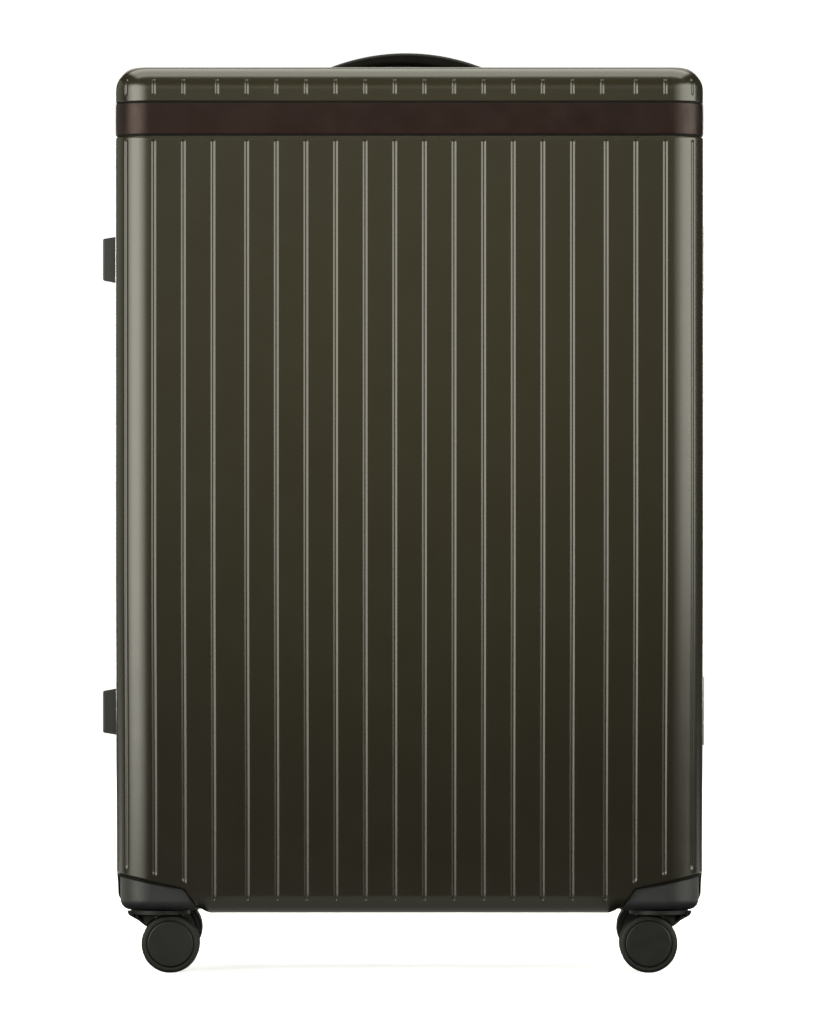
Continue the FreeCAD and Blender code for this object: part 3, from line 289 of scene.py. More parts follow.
# ------------------------------------------------------------------ mesh helpers
class Bag:
    """Vertices in millimetres from the case centre plane, and faces."""

    def __init__(self):
        self.v = []
        self.f = []

    def add(self, verts, faces):
        base = len(self.v)
        self.v.extend([tuple(float(c) for c in p) for p in verts])
        self.f.extend([tuple(i + base for i in f) for f in faces])
        return base

    def grid(self, p, wrap_u=False, wrap_v=False, flip=False):
        p = np.asarray(p, float)
        m, n = p.shape[:2]
        faces = []
        for i in range(m if wrap_u else m - 1):
            for j in range(n if wrap_v else n - 1):
                a, b = i * n + j, ((i + 1) % m) * n + j
                c, d = ((i + 1) % m) * n + (j + 1) % n, i * n + (j + 1) % n
                faces.append((a, d, c, b) if flip else (a, b, c, d))
        return self.add(p.reshape(-1, 3), faces)

    def fan(self, ring, flip=False):
        n = len(ring)
        f = tuple(range(n))
        return self.add(ring, [f[::-1] if flip else f])

    def lathe(self, profile, centre, axis, n=40, cap=True):
        """profile: (distance along axis, radius)."""
        centre = np.array(centre, float)
        ax = np.array(axis, float)
        ax /= np.linalg.norm(ax)
        side = np.cross(ax, (0.0, 0.0, 1.0) if abs(ax[2]) < 0.9 else (1.0, 0.0, 0.0))
        side /= np.linalg.norm(side)
        up = np.cross(ax, side)
        ang = np.arange(n) * 2 * math.pi / n
        ring = np.cos(ang)[:, None] * side + np.sin(ang)[:, None] * up
        rows = [centre + ax * a + ring * r for a, r in profile]
        self.grid(rows, wrap_v=True, flip=True)
        if cap:
            self.fan(rows[0], True)
            self.fan(rows[-1])

    def sweep(self, path, r, n=8, closed=False, flat=1.0):
        """Round or flattened cord along a path."""
        p = np.asarray(path, float)
        t = np.roll(p, -1, 0) - np.roll(p, 1, 0) if closed else np.gradient(p, axis=0)
        t /= np.linalg.norm(t, axis=1, keepdims=True)
        u = np.array((0.0, 1.0, 0.0)) if abs(t[0][1]) < 0.9 else np.array((1.0, 0.0, 0.0))
        ang = np.arange(n) * 2 * math.pi / n
        rows = []
        for q, d in zip(p, t):
            u = u - d * (u @ d)
            u /= np.linalg.norm(u)
            w = np.cross(d, u)
            rows.append(q + r * (np.cos(ang)[:, None] * u * flat + np.sin(ang)[:, None] * w))
        self.grid(rows, wrap_u=closed, wrap_v=True, flip=True)
        if not closed:
            self.fan(rows[0], True)
            self.fan(rows[-1])

    def slab(self, outline, plane, lo, hi):
        """Flat outline (counter-clockwise in its plane) pulled from lo to hi. plane 'xz' pulls along y, 'yz' along x, 'xy' along z."""
        def at(p, h):
            return {"xz": (p[0], h, p[1]), "yz": (h, p[0], p[1]), "xy": (p[0], p[1], h)}[plane]
        a, b = [at(p, lo) for p in outline], [at(p, hi) for p in outline]
        turn = plane == "xz"
        self.grid([a, b], wrap_v=True, flip=not turn)
        self.fan(a, not turn)
        self.fan(b, turn)

    def object(self, name, material, body, slot=None, sharp=35.0, weld=0.0):
        me = bpy.data.meshes.new(name)
        me.from_pydata([((x + SX) * MM, y * MM, z * MM) for x, y, z in self.v], [], self.f)
        bm = bmesh.new()
        bm.from_mesh(me)
        if weld:
            bmesh.ops.remove_doubles(bm, verts=bm.verts, dist=weld * MM)
        bm.to_mesh(me)
        bm.free()
        me.polygons.foreach_set("use_smooth", [True] * len(me.polygons))
        if sharp:
            me.set_sharp_from_angle(angle=math.radians(sharp))
        me.update()
        ob = bpy.data.objects.new(name, me)
        bpy.context.scene.collection.objects.link(ob)
        me.materials.append(material)
        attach(ob, body)
        return ob


def ease(a, b, x):
    t = np.clip((np.asarray(x, float) - a) / (b - a), 0, 1)
    return t * t * (3 - 2 * t)


def plan(s, off=0.0):
    """Perimeter of the front half: point moved in by off, and outward normal, at arc length s from the middle."""
    s = np.asarray(s, float)
    a = np.abs(s)
    sg = np.where(s < 0, -1.0, 1.0)
    t = np.clip((a - FLAT) / PR, 0, math.pi / 2)
    run = np.clip(a - FLAT - ARC, 0, None)
    nx, ny = np.sin(t), -np.cos(t)
    x = np.minimum(a, FLAT) + PR * np.sin(t)
    y = -HD + PR - PR * np.cos(t) + run
    return sg * (x - off * nx), y - off * ny, sg * nx, ny


# ------------------------------------------------------------------ half shells
PITCH, LEAD = 25.38, 28.84
BODY_G = [PITCH * (i + 0.5) for i in range(6)]
BODY_G += [BODY_G[-1] + LEAD + PITCH * i for i in range(3)]
LID_G = [PITCH * (i + 0.5) for i in range(7)]
LID_G += [LID_G[-1] + LEAD + PITCH * i for i in range(2)]
ROUND_G = [244.8 + PITCH * i for i in range(6)]
BODY_G = np.array(sorted([-g for g in BODY_G + ROUND_G] + BODY_G + ROUND_G))
LID_G = np.array(sorted([-g for g in LID_G + ROUND_G] + LID_G + ROUND_G))
NOTCH = 70.4
NOTCH_OFF = [0.0, 1.2, 2.6, 4.4, 7.0, 11.0]
GROOVE_D = 1.0
LIFT = 4.4
SEAM = -0.4


def reach(s):
    """Distances from the side and the front face lines."""
    x, y, _, _ = plan(s)
    return HW - np.abs(x), HD + y


def soft_min(a, b, k):
    h = np.clip(0.5 + 0.5 * (b - a) / k, 0, 1)
    return b * (1 - h) + a * h - k * h * (1 - h)


def cut_z(xp, yp):
    """Height of the corner cut-out line, seen from the front and from the side."""
    front = soft_min(86.2 - 0.22 * xp, 71.0 - 1.494 * (xp - 60.9), 2.6)
    side = soft_min(87.2 - 0.471 * np.clip(yp - 30.0, 0, None), 71.0 - 1.494 * (yp - 60.9), 2.6)
    return soft_min(front, side, 0.8) + SEAM


FILLET_T = BR * math.pi / 2
T_FULL = 42.0 + FILLET_T


def t_of_z(z):
    z = np.asarray(z, float)
    low = np.clip((68.0 - z) / BR, -1, 1)
    return np.where(z >= 68.0, 110.0 - z, 42.0 + BR * np.arcsin(low))


def low_profile(t):
    phi = np.clip((t - 42.0) / BR, 0, math.pi / 2)
    d = BR * (1 - np.cos(phi))
    z = np.where(t <= 42.0, 110.0 - t, 68.0 - BR * np.sin(phi))
    return d, z, phi


def groove(s, w, centres, lo, hi, k=0.93):
    """Pressed channel depth: flat floor, rolled flanks, round ends."""
    s = np.asarray(s, float)
    idx = np.clip(np.searchsorted(centres, s), 1, len(centres) - 1)
    u = np.minimum(np.abs(s - centres[idx - 1]), np.abs(s - centres[idx]))
    e = np.maximum(0, np.maximum(w - (hi - 2.35 * k), (lo + 2.35 * k) - w))
    ue = np.hypot(u, e)
    return GROOVE_D * k * (1 - ease(0.43 * k, 2.35 * k, ue))


GAP_LO, GAP_HI = 720.2, 749.8


def recess(z):
    """Band recess with rounded shoulders on the shell."""
    z = np.asarray(z, float)
    deep = 2.6
    d = np.zeros_like(z)
    for gap, r, drop in ((z - GAP_HI, 0.9, 0.9), (GAP_LO - z, 2.9, 1.3)):
        near = (gap >= 0) & (gap < r)
        d = np.where(near, drop * (1 - np.sqrt(np.clip(1 - (1 - gap / r) ** 2, 0, None))), d)
    step = np.minimum(z - GAP_LO, GAP_HI - z)
    rim = np.where(z - GAP_LO < GAP_HI - z, 1.3, 0.9)
    return np.where(step > 0, rim + (deep - rim) * np.clip(step / 0.12, 0, 1), d)


def column_stations():
    offs = [0, 0.35, 0.7, 1.02, 1.33, 1.64, 1.96, 2.3, 2.7]
    cols = [0.0]
    for c in np.concatenate([BODY_G, LID_G]):
        if c > 0:
            cols += [c + o for o in offs] + [c - o for o in offs]
    half = sorted(set(list(BODY_G[BODY_G > 0]) + list(LID_G[LID_G > 0])))
    for a, b in zip([0.0] + half, half + [SMAX]):
        if b - a > 12:
            cols += [a + (b - a) * f for f in (0.3, 0.5, 0.7)]
    cols += list(FLAT + PR * np.radians(np.arange(0, 91, 3.0)))
    for o in NOTCH_OFF:
        cols += [HW - NOTCH - o, FLAT + ARC + NOTCH + o - PR]
    for m in list(np.arange(52.0, 66.0, 1.0)) + list(np.arange(66.0, 70.2, 0.5)):
        cols += [HW - m, FLAT + ARC + m - PR]
    cols.append(SMAX)
    cols = sorted(c for c in cols if 0 <= c <= SMAX)
    keep_exact = [HW - NOTCH - o for o in NOTCH_OFF] + [FLAT + ARC + NOTCH + o - PR for o in NOTCH_OFF] + [0.0, SMAX]
    out = []
    for c in cols:
        exact = any(abs(c - k) < 1e-6 for k in keep_exact)
        if out and c - out[-1][0] < 0.22:
            if exact and not out[-1][1]:
                out[-1] = (c, True)
            continue
        out.append((c, exact))
    pos = [c for c, _ in out]
    return np.array([-c for c in pos[:0:-1]] + pos)


def shell_mesh(rear):
    s = column_stations()
    n = len(s)
    rows = []
    # top edge, from the flat top down to the wall
    for deg in [90, 82, 74, 66, 58, 51, 45, 40] + list(np.arange(36.0, 0.1, -1.4)):
        phi = math.radians(deg)
        rows.append((TR * (1 - math.cos(phi)), TOP - TR + TR * math.sin(phi), TOP - TR + TR * phi, phi))
    edge = [1.3, 0.92, 0.7, 0.5, 0.33, 0.2, 0.1, 0.03, 0.0]
    walls = list(np.arange(760.0, 753.9, -0.5)) + [753.2, 752.4] + [GAP_HI + e for e in edge] + [GAP_HI - 0.12, GAP_HI - 0.6, 748.0, 736.5, 725.0, GAP_LO + 0.6, GAP_LO + 0.12]
    walls += [GAP_LO - e * 2.2 / 0.92 for e in edge[:1:-1]] + [718.0, 717.6]
    walls += list(np.arange(717.2, 711.9, -0.5)) + [710, 706, 700, 690] + list(np.arange(655.0, 400.0, -60.0)) + list(np.arange(395.0, 116.0, -20.0))
    for z in walls:
        rows.append((float(recess(z)), z, z, 0.0))
    xp, yp = reach(s)
    m = np.maximum(xp, yp)
    bracket = m < NOTCH - 1e-6
    zc = cut_z(xp, yp)
    lo_body = np.where(bracket, np.maximum(62.6, zc + 6.6), 62.6)
    grid = []
    for d, z, w, phi in rows:
        g = groove(s, w, BODY_G, lo_body, 717.2) if z < 722 else (groove(s, w, LID_G, 754.9, 769.8, 0.8) if z > 751 else 0.0)
        x, y, nx, ny = plan(s, 0.0)
        tot = d + g * math.cos(phi)
        grid.append(np.stack([x - nx * tot, y - ny * tot, np.full(n, z) - g * math.sin(phi)], 1))
    # lower part, ending on the cut-out line or rolling under to the bottom
    te = np.where(bracket, t_of_z(zc), T_FULL)
    te_in = float(t_of_z(71.0 + SEAM - 1.494 * (68.2 - 60.9)))
    te = np.where(bracket & (m > 68.2), te_in + (T_FULL - te_in) * ((m - 68.2) / (NOTCH - 68.2)) ** 1.5, te)
    roll = np.where(bracket, 1.8 * (1 - ease(67.0, NOTCH, m)), 0.0)
    lift = np.where(bracket, LIFT * ease(60.0, NOTCH, m), LIFT * (1 - ease(0, 11.0, m - NOTCH)))
    low_t = [0.0, 4.0] + list(np.arange(6.0, T_FULL - 0.3, 0.9)) + [T_FULL]

    def low_row(t):
        d, z, phi = low_profile(t)
        g = groove(s, z, BODY_G, lo_body, 717.2) * (1 - ease(0.5, 1.2, phi))
        z = z + lift * np.sin(phi) ** 2
        x, y, nx, ny = plan(s)
        tot = d + g
        return np.stack([x - nx * tot, y - ny * tot, z], 1)

    for t in low_t:
        grid.append(low_row(np.minimum(t, te - roll)))
    grid = np.array(grid)
    bag = Bag()
    bag.grid(grid)
    last = grid[-1]
    # rolled lip round each corner cut-out
    d0, z0, phi0 = low_profile(te - roll)
    x, y, nx, ny = plan(s)
    down_in = np.sin(phi0)
    for lo, hi in bracket_runs(bracket):
        sel = slice(lo, hi)
        strip = [last[sel]]
        for ps in (20, 40, 60, 80, 95):
            a = math.radians(ps)
            along, inward = roll[sel] * math.sin(a), roll[sel] * (1 - math.cos(a))
            ph = phi0[sel]
            dn = along * np.sin(ph) + inward * np.cos(ph)
            dz = -along * np.cos(ph) + inward * np.sin(ph)
            strip.append(last[sel] + np.stack([-nx[sel] * dn, -ny[sel] * dn, dz], 1))
        deep = strip[-1] + np.stack([-nx[sel] * 2.6, -ny[sel] * 2.6, np.full(len(strip[-1]), 0.5)], 1)
        strip.append(deep)
        bag.grid(strip)
    # bottom ramps beside the cut-outs
    for side in (-1, 1):
        strips = []
        for o in NOTCH_OFF:
            e = NOTCH + o
            z = BOT + LIFT * (1 - float(ease(0, 11.0, o)))
            leg_a = [(HW - e, -HD + v, z) for v in np.linspace(BR, e, 9)]
            leg_b = [(HW - v, -HD + e, z) for v in np.linspace(e, BR, 9)[1:]]
            strips.append([(side * a, b, c) for a, b, c in leg_a + leg_b])
        bag.grid(strips, flip=side > 0)
        # upturned lip on the inner edge
        edge = np.array(strips[0])
        inner = edge + np.array([0, 0, 3.0])
        bag.grid([inner, edge], flip=side > 0)
    # flat bottom
    e = NOTCH + NOTCH_OFF[-1]
    ring = [p for p, q in zip(last, m) if q >= e - 1e-6]
    left_side = [p for p in ring if p[0] < 0 and p[1] > -HD + PR + 5]
    right_side = [p for p in ring if p[0] > 0 and p[1] > -HD + PR + 5]
    front = [p for p in ring if p[1] < -HD + PR]
    leg = [(HW - e, -HD + v, BOT) for v in np.linspace(BR, e, 9)] + [(HW - v, -HD + e, BOT) for v in np.linspace(e, BR, 9)[1:]]
    poly = left_side + [(-a, b, c) for a, b, c in leg[::-1]][1:-1] + front + leg[1:-1] + right_side
    bag.fan(poly, True)
    top = [tuple(p) for p in grid[0]]
    if not rear:
        bag.fan(top)
    return bag, top


def bracket_runs(flags):
    runs, start = [], None
    for i, v in enumerate(flags):
        if v and start is None:
            start = i
        if not v and start is not None:
            runs.append((start, i))
            start = None
    if start is not None:
        runs.append((start, len(flags)))
    return runs


def swell(bag):
    """Slight taper of the blown skin: a touch fuller than the frame at the top, leaner at the bottom."""
    def k(z):
        return 1 + (0.65 - 1.05 * float(ease(370.0, 100.0, z))) / HW
    bag.v = [(x * k(z), y, z) for x, y, z in bag.v]
    return bag


def mirrored(bag):
    out = Bag()
    out.v = [(x, -y, z) for x, y, z in bag.v]
    out.f = [f[::-1] for f in bag.f]
    return out


def rounded_loop(x0, x1, y0, y1, r, z, n=5):
    pts = []
    for cx, cy, a0 in ((x1 - r, y1 - r, 0), (x0 + r, y1 - r, 90), (x0 + r, y0 + r, 180), (x1 - r, y0 + r, 270)):
        for i in range(n + 1):
            a = math.radians(a0 + 90 * i / n)
            pts.append((cx + r * math.cos(a), cy + r * math.sin(a), z))
    return pts


def filled_with_hole(outer, hole):
    bm = bmesh.new()
    edges = []
    for loop in (outer, hole):
        vs = [bm.verts.new(p) for p in loop]
        edges += [bm.edges.new((vs[i], vs[(i + 1) % len(vs)])) for i in range(len(vs))]
    bmesh.ops.triangle_fill(bm, edges=edges, use_beauty=True, normal=(0, 0, 1))
    bm.verts.index_update()
    verts = [tuple(v.co) for v in bm.verts]
    faces = []
    for f in bm.faces:
        idx = [v.index for v in f.verts]
        faces.append(tuple(idx if f.normal.z >= 0 else idx[::-1]))
    bm.free()
    return verts, faces


def gap_shade_bead_mesh():
    """Near-black bead filling the gap between the shell edge and each moulded corner: painted shade standing in for the
    shadow in that gap.
    """
    s = column_stations()
    xp, yp = reach(s)
    m = np.maximum(xp, yp)
    front = soft_min(83.2 - 0.186 * xp, 71.0 - 1.494 * (xp - 59.4), 2.6)
    side = soft_min(84.4 - 0.44 * np.clip(yp - 30.0, 0, None), 71.0 - 1.494 * (yp - 59.4), 2.6)
    low, high = soft_min(front, side, 0.8), cut_z(xp, yp) + 0.6
    x, y, nx, ny = plan(s)
    rows = []
    for share, deep in ((0.0, 4.6), (0.0, 2.3), (0.2, 1.9), (0.5, 1.75), (0.85, 1.9), (1.0, 2.3), (1.0, 4.6)):
        d, z, phi = low_profile(t_of_z(high + (low - high) * share))
        off = d + deep * np.cos(phi)
        rows.append(np.stack([x - nx * off, y - ny * off, z + deep * np.sin(phi)], 1))
    rows = np.array(rows).transpose(1, 0, 2)
    b = Bag()
    for lo, hi in bracket_runs(m < 67.6):
        b.grid(rows[lo:hi], wrap_v=True, flip=True)
        b.fan(rows[lo], True)
        b.fan(rows[hi - 1])
    return swell(b)


bag, top = shell_mesh(False)
front_shell = swell(bag).object("front_shell_skin", M["shell"], "front_half", "shell", sharp=50, weld=0.01)
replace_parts(front_shell, "front_shell")
bag, top = shell_mesh(True)
bag = mirrored(bag)
v, f = filled_with_hole([(x, -y, z) for x, y, z in top], rounded_loop(-108.4, 108.4, 102.6, 137.4, 4.0, TOP))
bag.add(v, f)
rear_shell = swell(bag).object("rear_shell_skin", M["shell"], "rear_half", "shell", sharp=50, weld=0.01)
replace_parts(rear_shell, "rear_shell")
# near-black beads in the corner gaps: painted shade for the shadow between the shell edge and each corner
bag = gap_shade_bead_mesh()
bag.object("front_corner_gap_shade", M["painted_shade_black"], "front_half", "seal_rubber", 40)
mirrored(bag).object("rear_corner_gap_shade", M["painted_shade_black"], "rear_half", "seal_rubber", 40)


# ------------------------------------------------------------------ leather bands
def band_mesh():
    end = FLAT + ARC + (HD - PR - 10.7)
    half = list(np.arange(0, FLAT, 4.0)) + list(FLAT + PR * np.radians(np.arange(0, 90, 3.0))) + list(np.arange(FLAT + ARC, end, 4.0)) + [end]
    s = np.array([-c for c in half[:0:-1]] + half)
    x, y, nx, ny = plan(s)
    lo, hi = 721.7, 748.5
    prof = [(2.5, lo)]
    for a in range(0, 91, 18):
        prof.append((0.16 + 0.45 * (1 - math.sin(math.radians(a))), lo + 0.45 * (1 - math.cos(math.radians(a)))))
    for fr in (0.1, 0.2, 0.35, 0.5, 0.65, 0.8, 0.9):
        prof.append((0.16 - 0.12 * math.sin(math.pi * fr), lo + (hi - lo) * fr))
    up = prof[1:7]
    prof += [(d, hi - (z - lo)) for d, z in up[::-1]] + [(2.5, hi)]
    rows = [np.stack([x - nx * d, y - ny * d, np.full(len(s), z)], 1) for d, z in prof]
    b = Bag()
    b.grid(rows, flip=True)
    return swell(b)


def band_shade_lines_mesh():
    """Near-black sheet behind the strip, seen only as a line above and below it: painted shade for the shadow lines at
    the band's edges.
    """
    end = FLAT + ARC + (HD - PR - 10.7)
    half = list(np.arange(0, FLAT, 8.0)) + list(FLAT + PR * np.radians(np.arange(0, 90, 4.5))) + list(np.arange(FLAT + ARC, end, 8.0)) + [end]
    s = np.array([-c for c in half[:0:-1]] + half)
    x, y, nx, ny = plan(s)
    prof = [(2.55, GAP_LO + 0.02), (1.25, GAP_LO + 0.08), (1.1, GAP_LO + 0.5), (1.1, 736.0), (1.1, GAP_HI - 0.5), (1.25, GAP_HI - 0.08), (2.55, GAP_HI - 0.02)]
    b = Bag()
    b.grid([np.stack([x - nx * d, y - ny * d, np.full(len(s), z)], 1) for d, z in prof], flip=True)
    return swell(b)


# near-black lines above and below the leather band: painted shade for the shadow in the recess gaps
bag = band_shade_lines_mesh()
bag.object("front_band_shade_lines", M["painted_shade_black"], "front_half", "band_leather", 60)
mirrored(bag).object("rear_band_shade_lines", M["painted_shade_black"], "rear_half", "band_leather", 60)
bag = band_mesh()
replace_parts(bag.object("front_band_strip", M["band_leather"], "front_half", "band_leather", 40), "front_band")
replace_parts(mirrored(bag).object("rear_band_strip", M["band_leather"], "rear_half", "band_leather", 40), "rear_band")


# ------------------------------------------------------------------ handles
def strap_section(half_w, lo, hi, r, crease=0.0):
    """Closed cross-section (across, height) of a leather strap with rolled edges and a crease line near each edge."""
    r = min(r, (hi - lo) * 0.48)
    pts = []
    for cx, cz, a0 in ((half_w - r, hi - r, 0), (-half_w + r, hi - r, 90), (-half_w + r, lo + r, 180), (half_w - r, lo + r, 270)):
        for i in range(6):
            a = math.radians(a0 + 18 * i)
            pts.append((cx + r * math.cos(a), cz + r * math.sin(a)))
        if a0 == 0:
            for y in (0.72, 0.685, 0.65, 0.4, 0.0, -0.4, -0.65, -0.685, -0.72):
                dip = crease if abs(abs(y) - 0.685) < 0.001 else 0.0
                w = half_w * y
                if abs(w) < half_w - r:
                    pts.append((w, hi - dip))
                else:
                    pts.append((math.copysign(half_w - r - 0.01, w), hi))
        if a0 == 180:
            for y in (-0.5, 0.0, 0.5):
                pts.append((half_w * y, lo))
    return pts


def thread(bag, a, b, r, up):
    """One stitch: a short rounded cord sunk at both ends."""
    a, b, up = np.array(a, float), np.array(b, float), np.array(up, float)
    path = [a - up * r * 1.2, a + (b - a) * 0.12 + up * r * 0.25, a + (b - a) * 0.5 + up * r * 0.5, a + (b - a) * 0.88 + up * r * 0.25, b - up * r * 1.2]
    bag.sweep(path, r, 6)


def bow_top(x):
    arc = 618.2 + math.sqrt(184.7 ** 2 - (x + 3.0) ** 2)
    k, lim = 1.2, 788.3
    h = max(k - abs(arc - lim), 0) / k
    return max(arc, lim) + h * h * k / 4


def bow_low(x):
    arc = 617.0 + math.sqrt(max(174.4 ** 2 - (x + 6.0) ** 2, 0))
    k, lim = 1.2, 783.1
    h = max(k - abs(arc - lim), 0) / k
    return max(arc, lim) + h * h * k / 4


BOW_Y = 45.0
half = [0, 6, 12, 18, 24, 30, 36, 42, 47, 51, 55, 58, 61, 63.5, 66, 68, 70, 72, 74, 77, 80, 83, 85.5, 87.5, 89, 90.2, 91.0, 91.5]
xs = [-x for x in half[:0:-1]] + half
bag = Bag()
rows = []
for x in xs:
    w = 13.0 if abs(x) < 85.5 else 7.0 + math.sqrt(max(36.0 - (abs(x) - 85.5) ** 2, 0.01))
    rows.append([(x, BOW_Y + a, b) for a, b in strap_section(w, bow_low(x), bow_top(x), 4.2, 0.4 if abs(x) < 84 else 0.0)])
bag.grid(rows, wrap_v=True)
bag.fan(rows[0])
bag.fan(rows[-1], True)
bow = bag.object("top_handle_bow", M["handle_leather"], "carry_handle", "handle_leather", 60)
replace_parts(bow, "top_handle")
bag = Bag()
for x in np.arange(-46.0, 46.1, 4.0):
    for y in (-3.2, 3.2):
        a, b = x - 1.4, x + 1.4
        thread(bag, (a, BOW_Y + y, bow_low(a)), (b, BOW_Y + y, bow_low(b)), 0.35, (0, 0, -1))
bag.object("top_handle_seam_stitches", M["stitch"], "carry_handle", "handle_leather", 60)
bag = Bag()
for sx in (-1, 1):
    bag.lathe([(750.0, 4.9), (750.6, 5.5), (752.4, 5.5), (753.0, 4.9), (753.0, 3.5), (783.6, 3.5)], (72.0 * sx, BOW_Y, 0.0), (0, 0, 1), 32)
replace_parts(bag.object("top_handle_posts", M["pin_steel"], "carry_handle", "pin_steel", 40), "top_handle")

# side handle: flat leather strap standing on two posts
SIDE_Y, SIDE_Z = 104.0, 420.0
bag = Bag()
half = [0, 12, 24, 36, 48, 58, 66, 72, 76, 80, 84, 87, 89.5, 91.5, 93.2, 94.6, 95.7, 96.6, 97.3, 97.8]
zs = [-z for z in half[:0:-1]] + half
rows = []
for z in zs:
    w = 13.0 if abs(z) < 84.0 else 13.0 * math.sqrt(max(1 - ((abs(z) - 84.0) / 14.2) ** 2, 0.02))
    bulge = 0.35 * math.cos(min(abs(z) / 84.0, 1.0) * math.pi / 2)
    sec = strap_section(w, 4.62, 8.2 + bulge, 1.6, 0.3 if abs(z) < 82 else 0.0)
    rows.append([(-HW - b, SIDE_Y + a, SIDE_Z + z) for a, b in sec])
bag.grid(rows, wrap_v=True)
bag.fan(rows[0])
bag.fan(rows[-1], True)
strap = bag.object("side_handle_strap", M["handle_leather"], "grab_handle", "handle_leather", 60)
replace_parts(strap, "side_handle")
bag = Bag()
for z in np.arange(-80.0, 80.1, 4.0):
    for y in (-10.6, 10.6):
        u = 8.2 + 0.35 * math.cos(min(abs(z) / 84.0, 1.0) * math.pi / 2)
        thread(bag, (-HW - u, SIDE_Y + y, SIDE_Z + z - 1.3), (-HW - u, SIDE_Y + y, SIDE_Z + z + 1.3), 0.32, (-1, 0, 0))
bag.object("side_handle_stitches", M["stitch"], "grab_handle", "handle_leather", 60)
bag = Bag()
for sz in (-1, 1):
    c = (0.0, SIDE_Y, SIDE_Z + 83.0 * sz)
    bag.lathe([(-HW - 5.0, 3.0), (-HW + 20.4, 3.0), (-HW + 20.4, 4.5), (-HW + 20.9, 5.0), (-HW + 22.9, 5.0), (-HW + 23.4, 4.5)], c, (1, 0, 0), 28)
    # domed rivet on the strap over each post
    bag.lathe([(-HW - 8.2, 4.6), (-HW - 8.5, 4.4), (-HW - 8.8, 3.4), (-HW - 8.95, 1.8), (-HW - 9.0, 0.4)], c, (1, 0, 0), 28)
posts = bag.object("side_handle_posts", M["pin_steel"], "grab_handle", "pin_steel", 40)
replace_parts(posts, "side_handle")


# ------------------------------------------------------------------ linings
def rr_loop(x0, x1, z0, z1, rt, rb, nx=44, nz=62, nc=5):
    """Rounded rectangle in x and z with fixed point counts, from the lower left going right."""
    rt = min(rt, (x1 - x0) / 2 - 0.5, (z1 - z0) / 2 - 0.5)
    rb = min(rb, (x1 - x0) / 2 - 0.5, (z1 - z0) / 2 - 0.5)
    pts = [(x, z0) for x in np.linspace(x0 + rb, x1 - rb, nx)]
    def turn(cx, cz, r, a0):
        return [(cx + r * math.cos(math.radians(a0 + 90 * i / (nc + 1))), cz + r * math.sin(math.radians(a0 + 90 * i / (nc + 1)))) for i in range(1, nc + 1)]
    pts += turn(x1 - rb, z0 + rb, rb, 270)
    pts += [(x1, z) for z in np.linspace(z0 + rb, z1 - rt, nz)]
    pts += turn(x1 - rt, z1 - rt, rt, 0)
    pts += [(x, z1) for x in np.linspace(x1 - rt, x0 + rt, nx)]
    pts += turn(x0 + rt, z1 - rt, rt, 90)
    pts += [(x0, z) for z in np.linspace(z1 - rt, z0 + rb, nz)]
    pts += turn(x0 + rb, z0 + rb, rb, 180)
    return np.array(pts)


def slack(a, b, seed):
    """Gentle cloth ripple, about -1 to 1."""
    return (np.sin(a * 0.021 + seed + 1.7 * np.sin(b * 0.013 + seed)) * 0.5 + np.sin(b * 0.034 - a * 0.012 + 2.1 * seed) * 0.3
            + np.sin(a * 0.071 + b * 0.053 + 3.3 * seed) * 0.2)


IN, CR = 6.7, 18.0          # lining set in from the shell face, and its soft edge radius
LX, LZ0, LZ1, LY = HW - IN, BOT + IN, TOP - IN, HD - IN


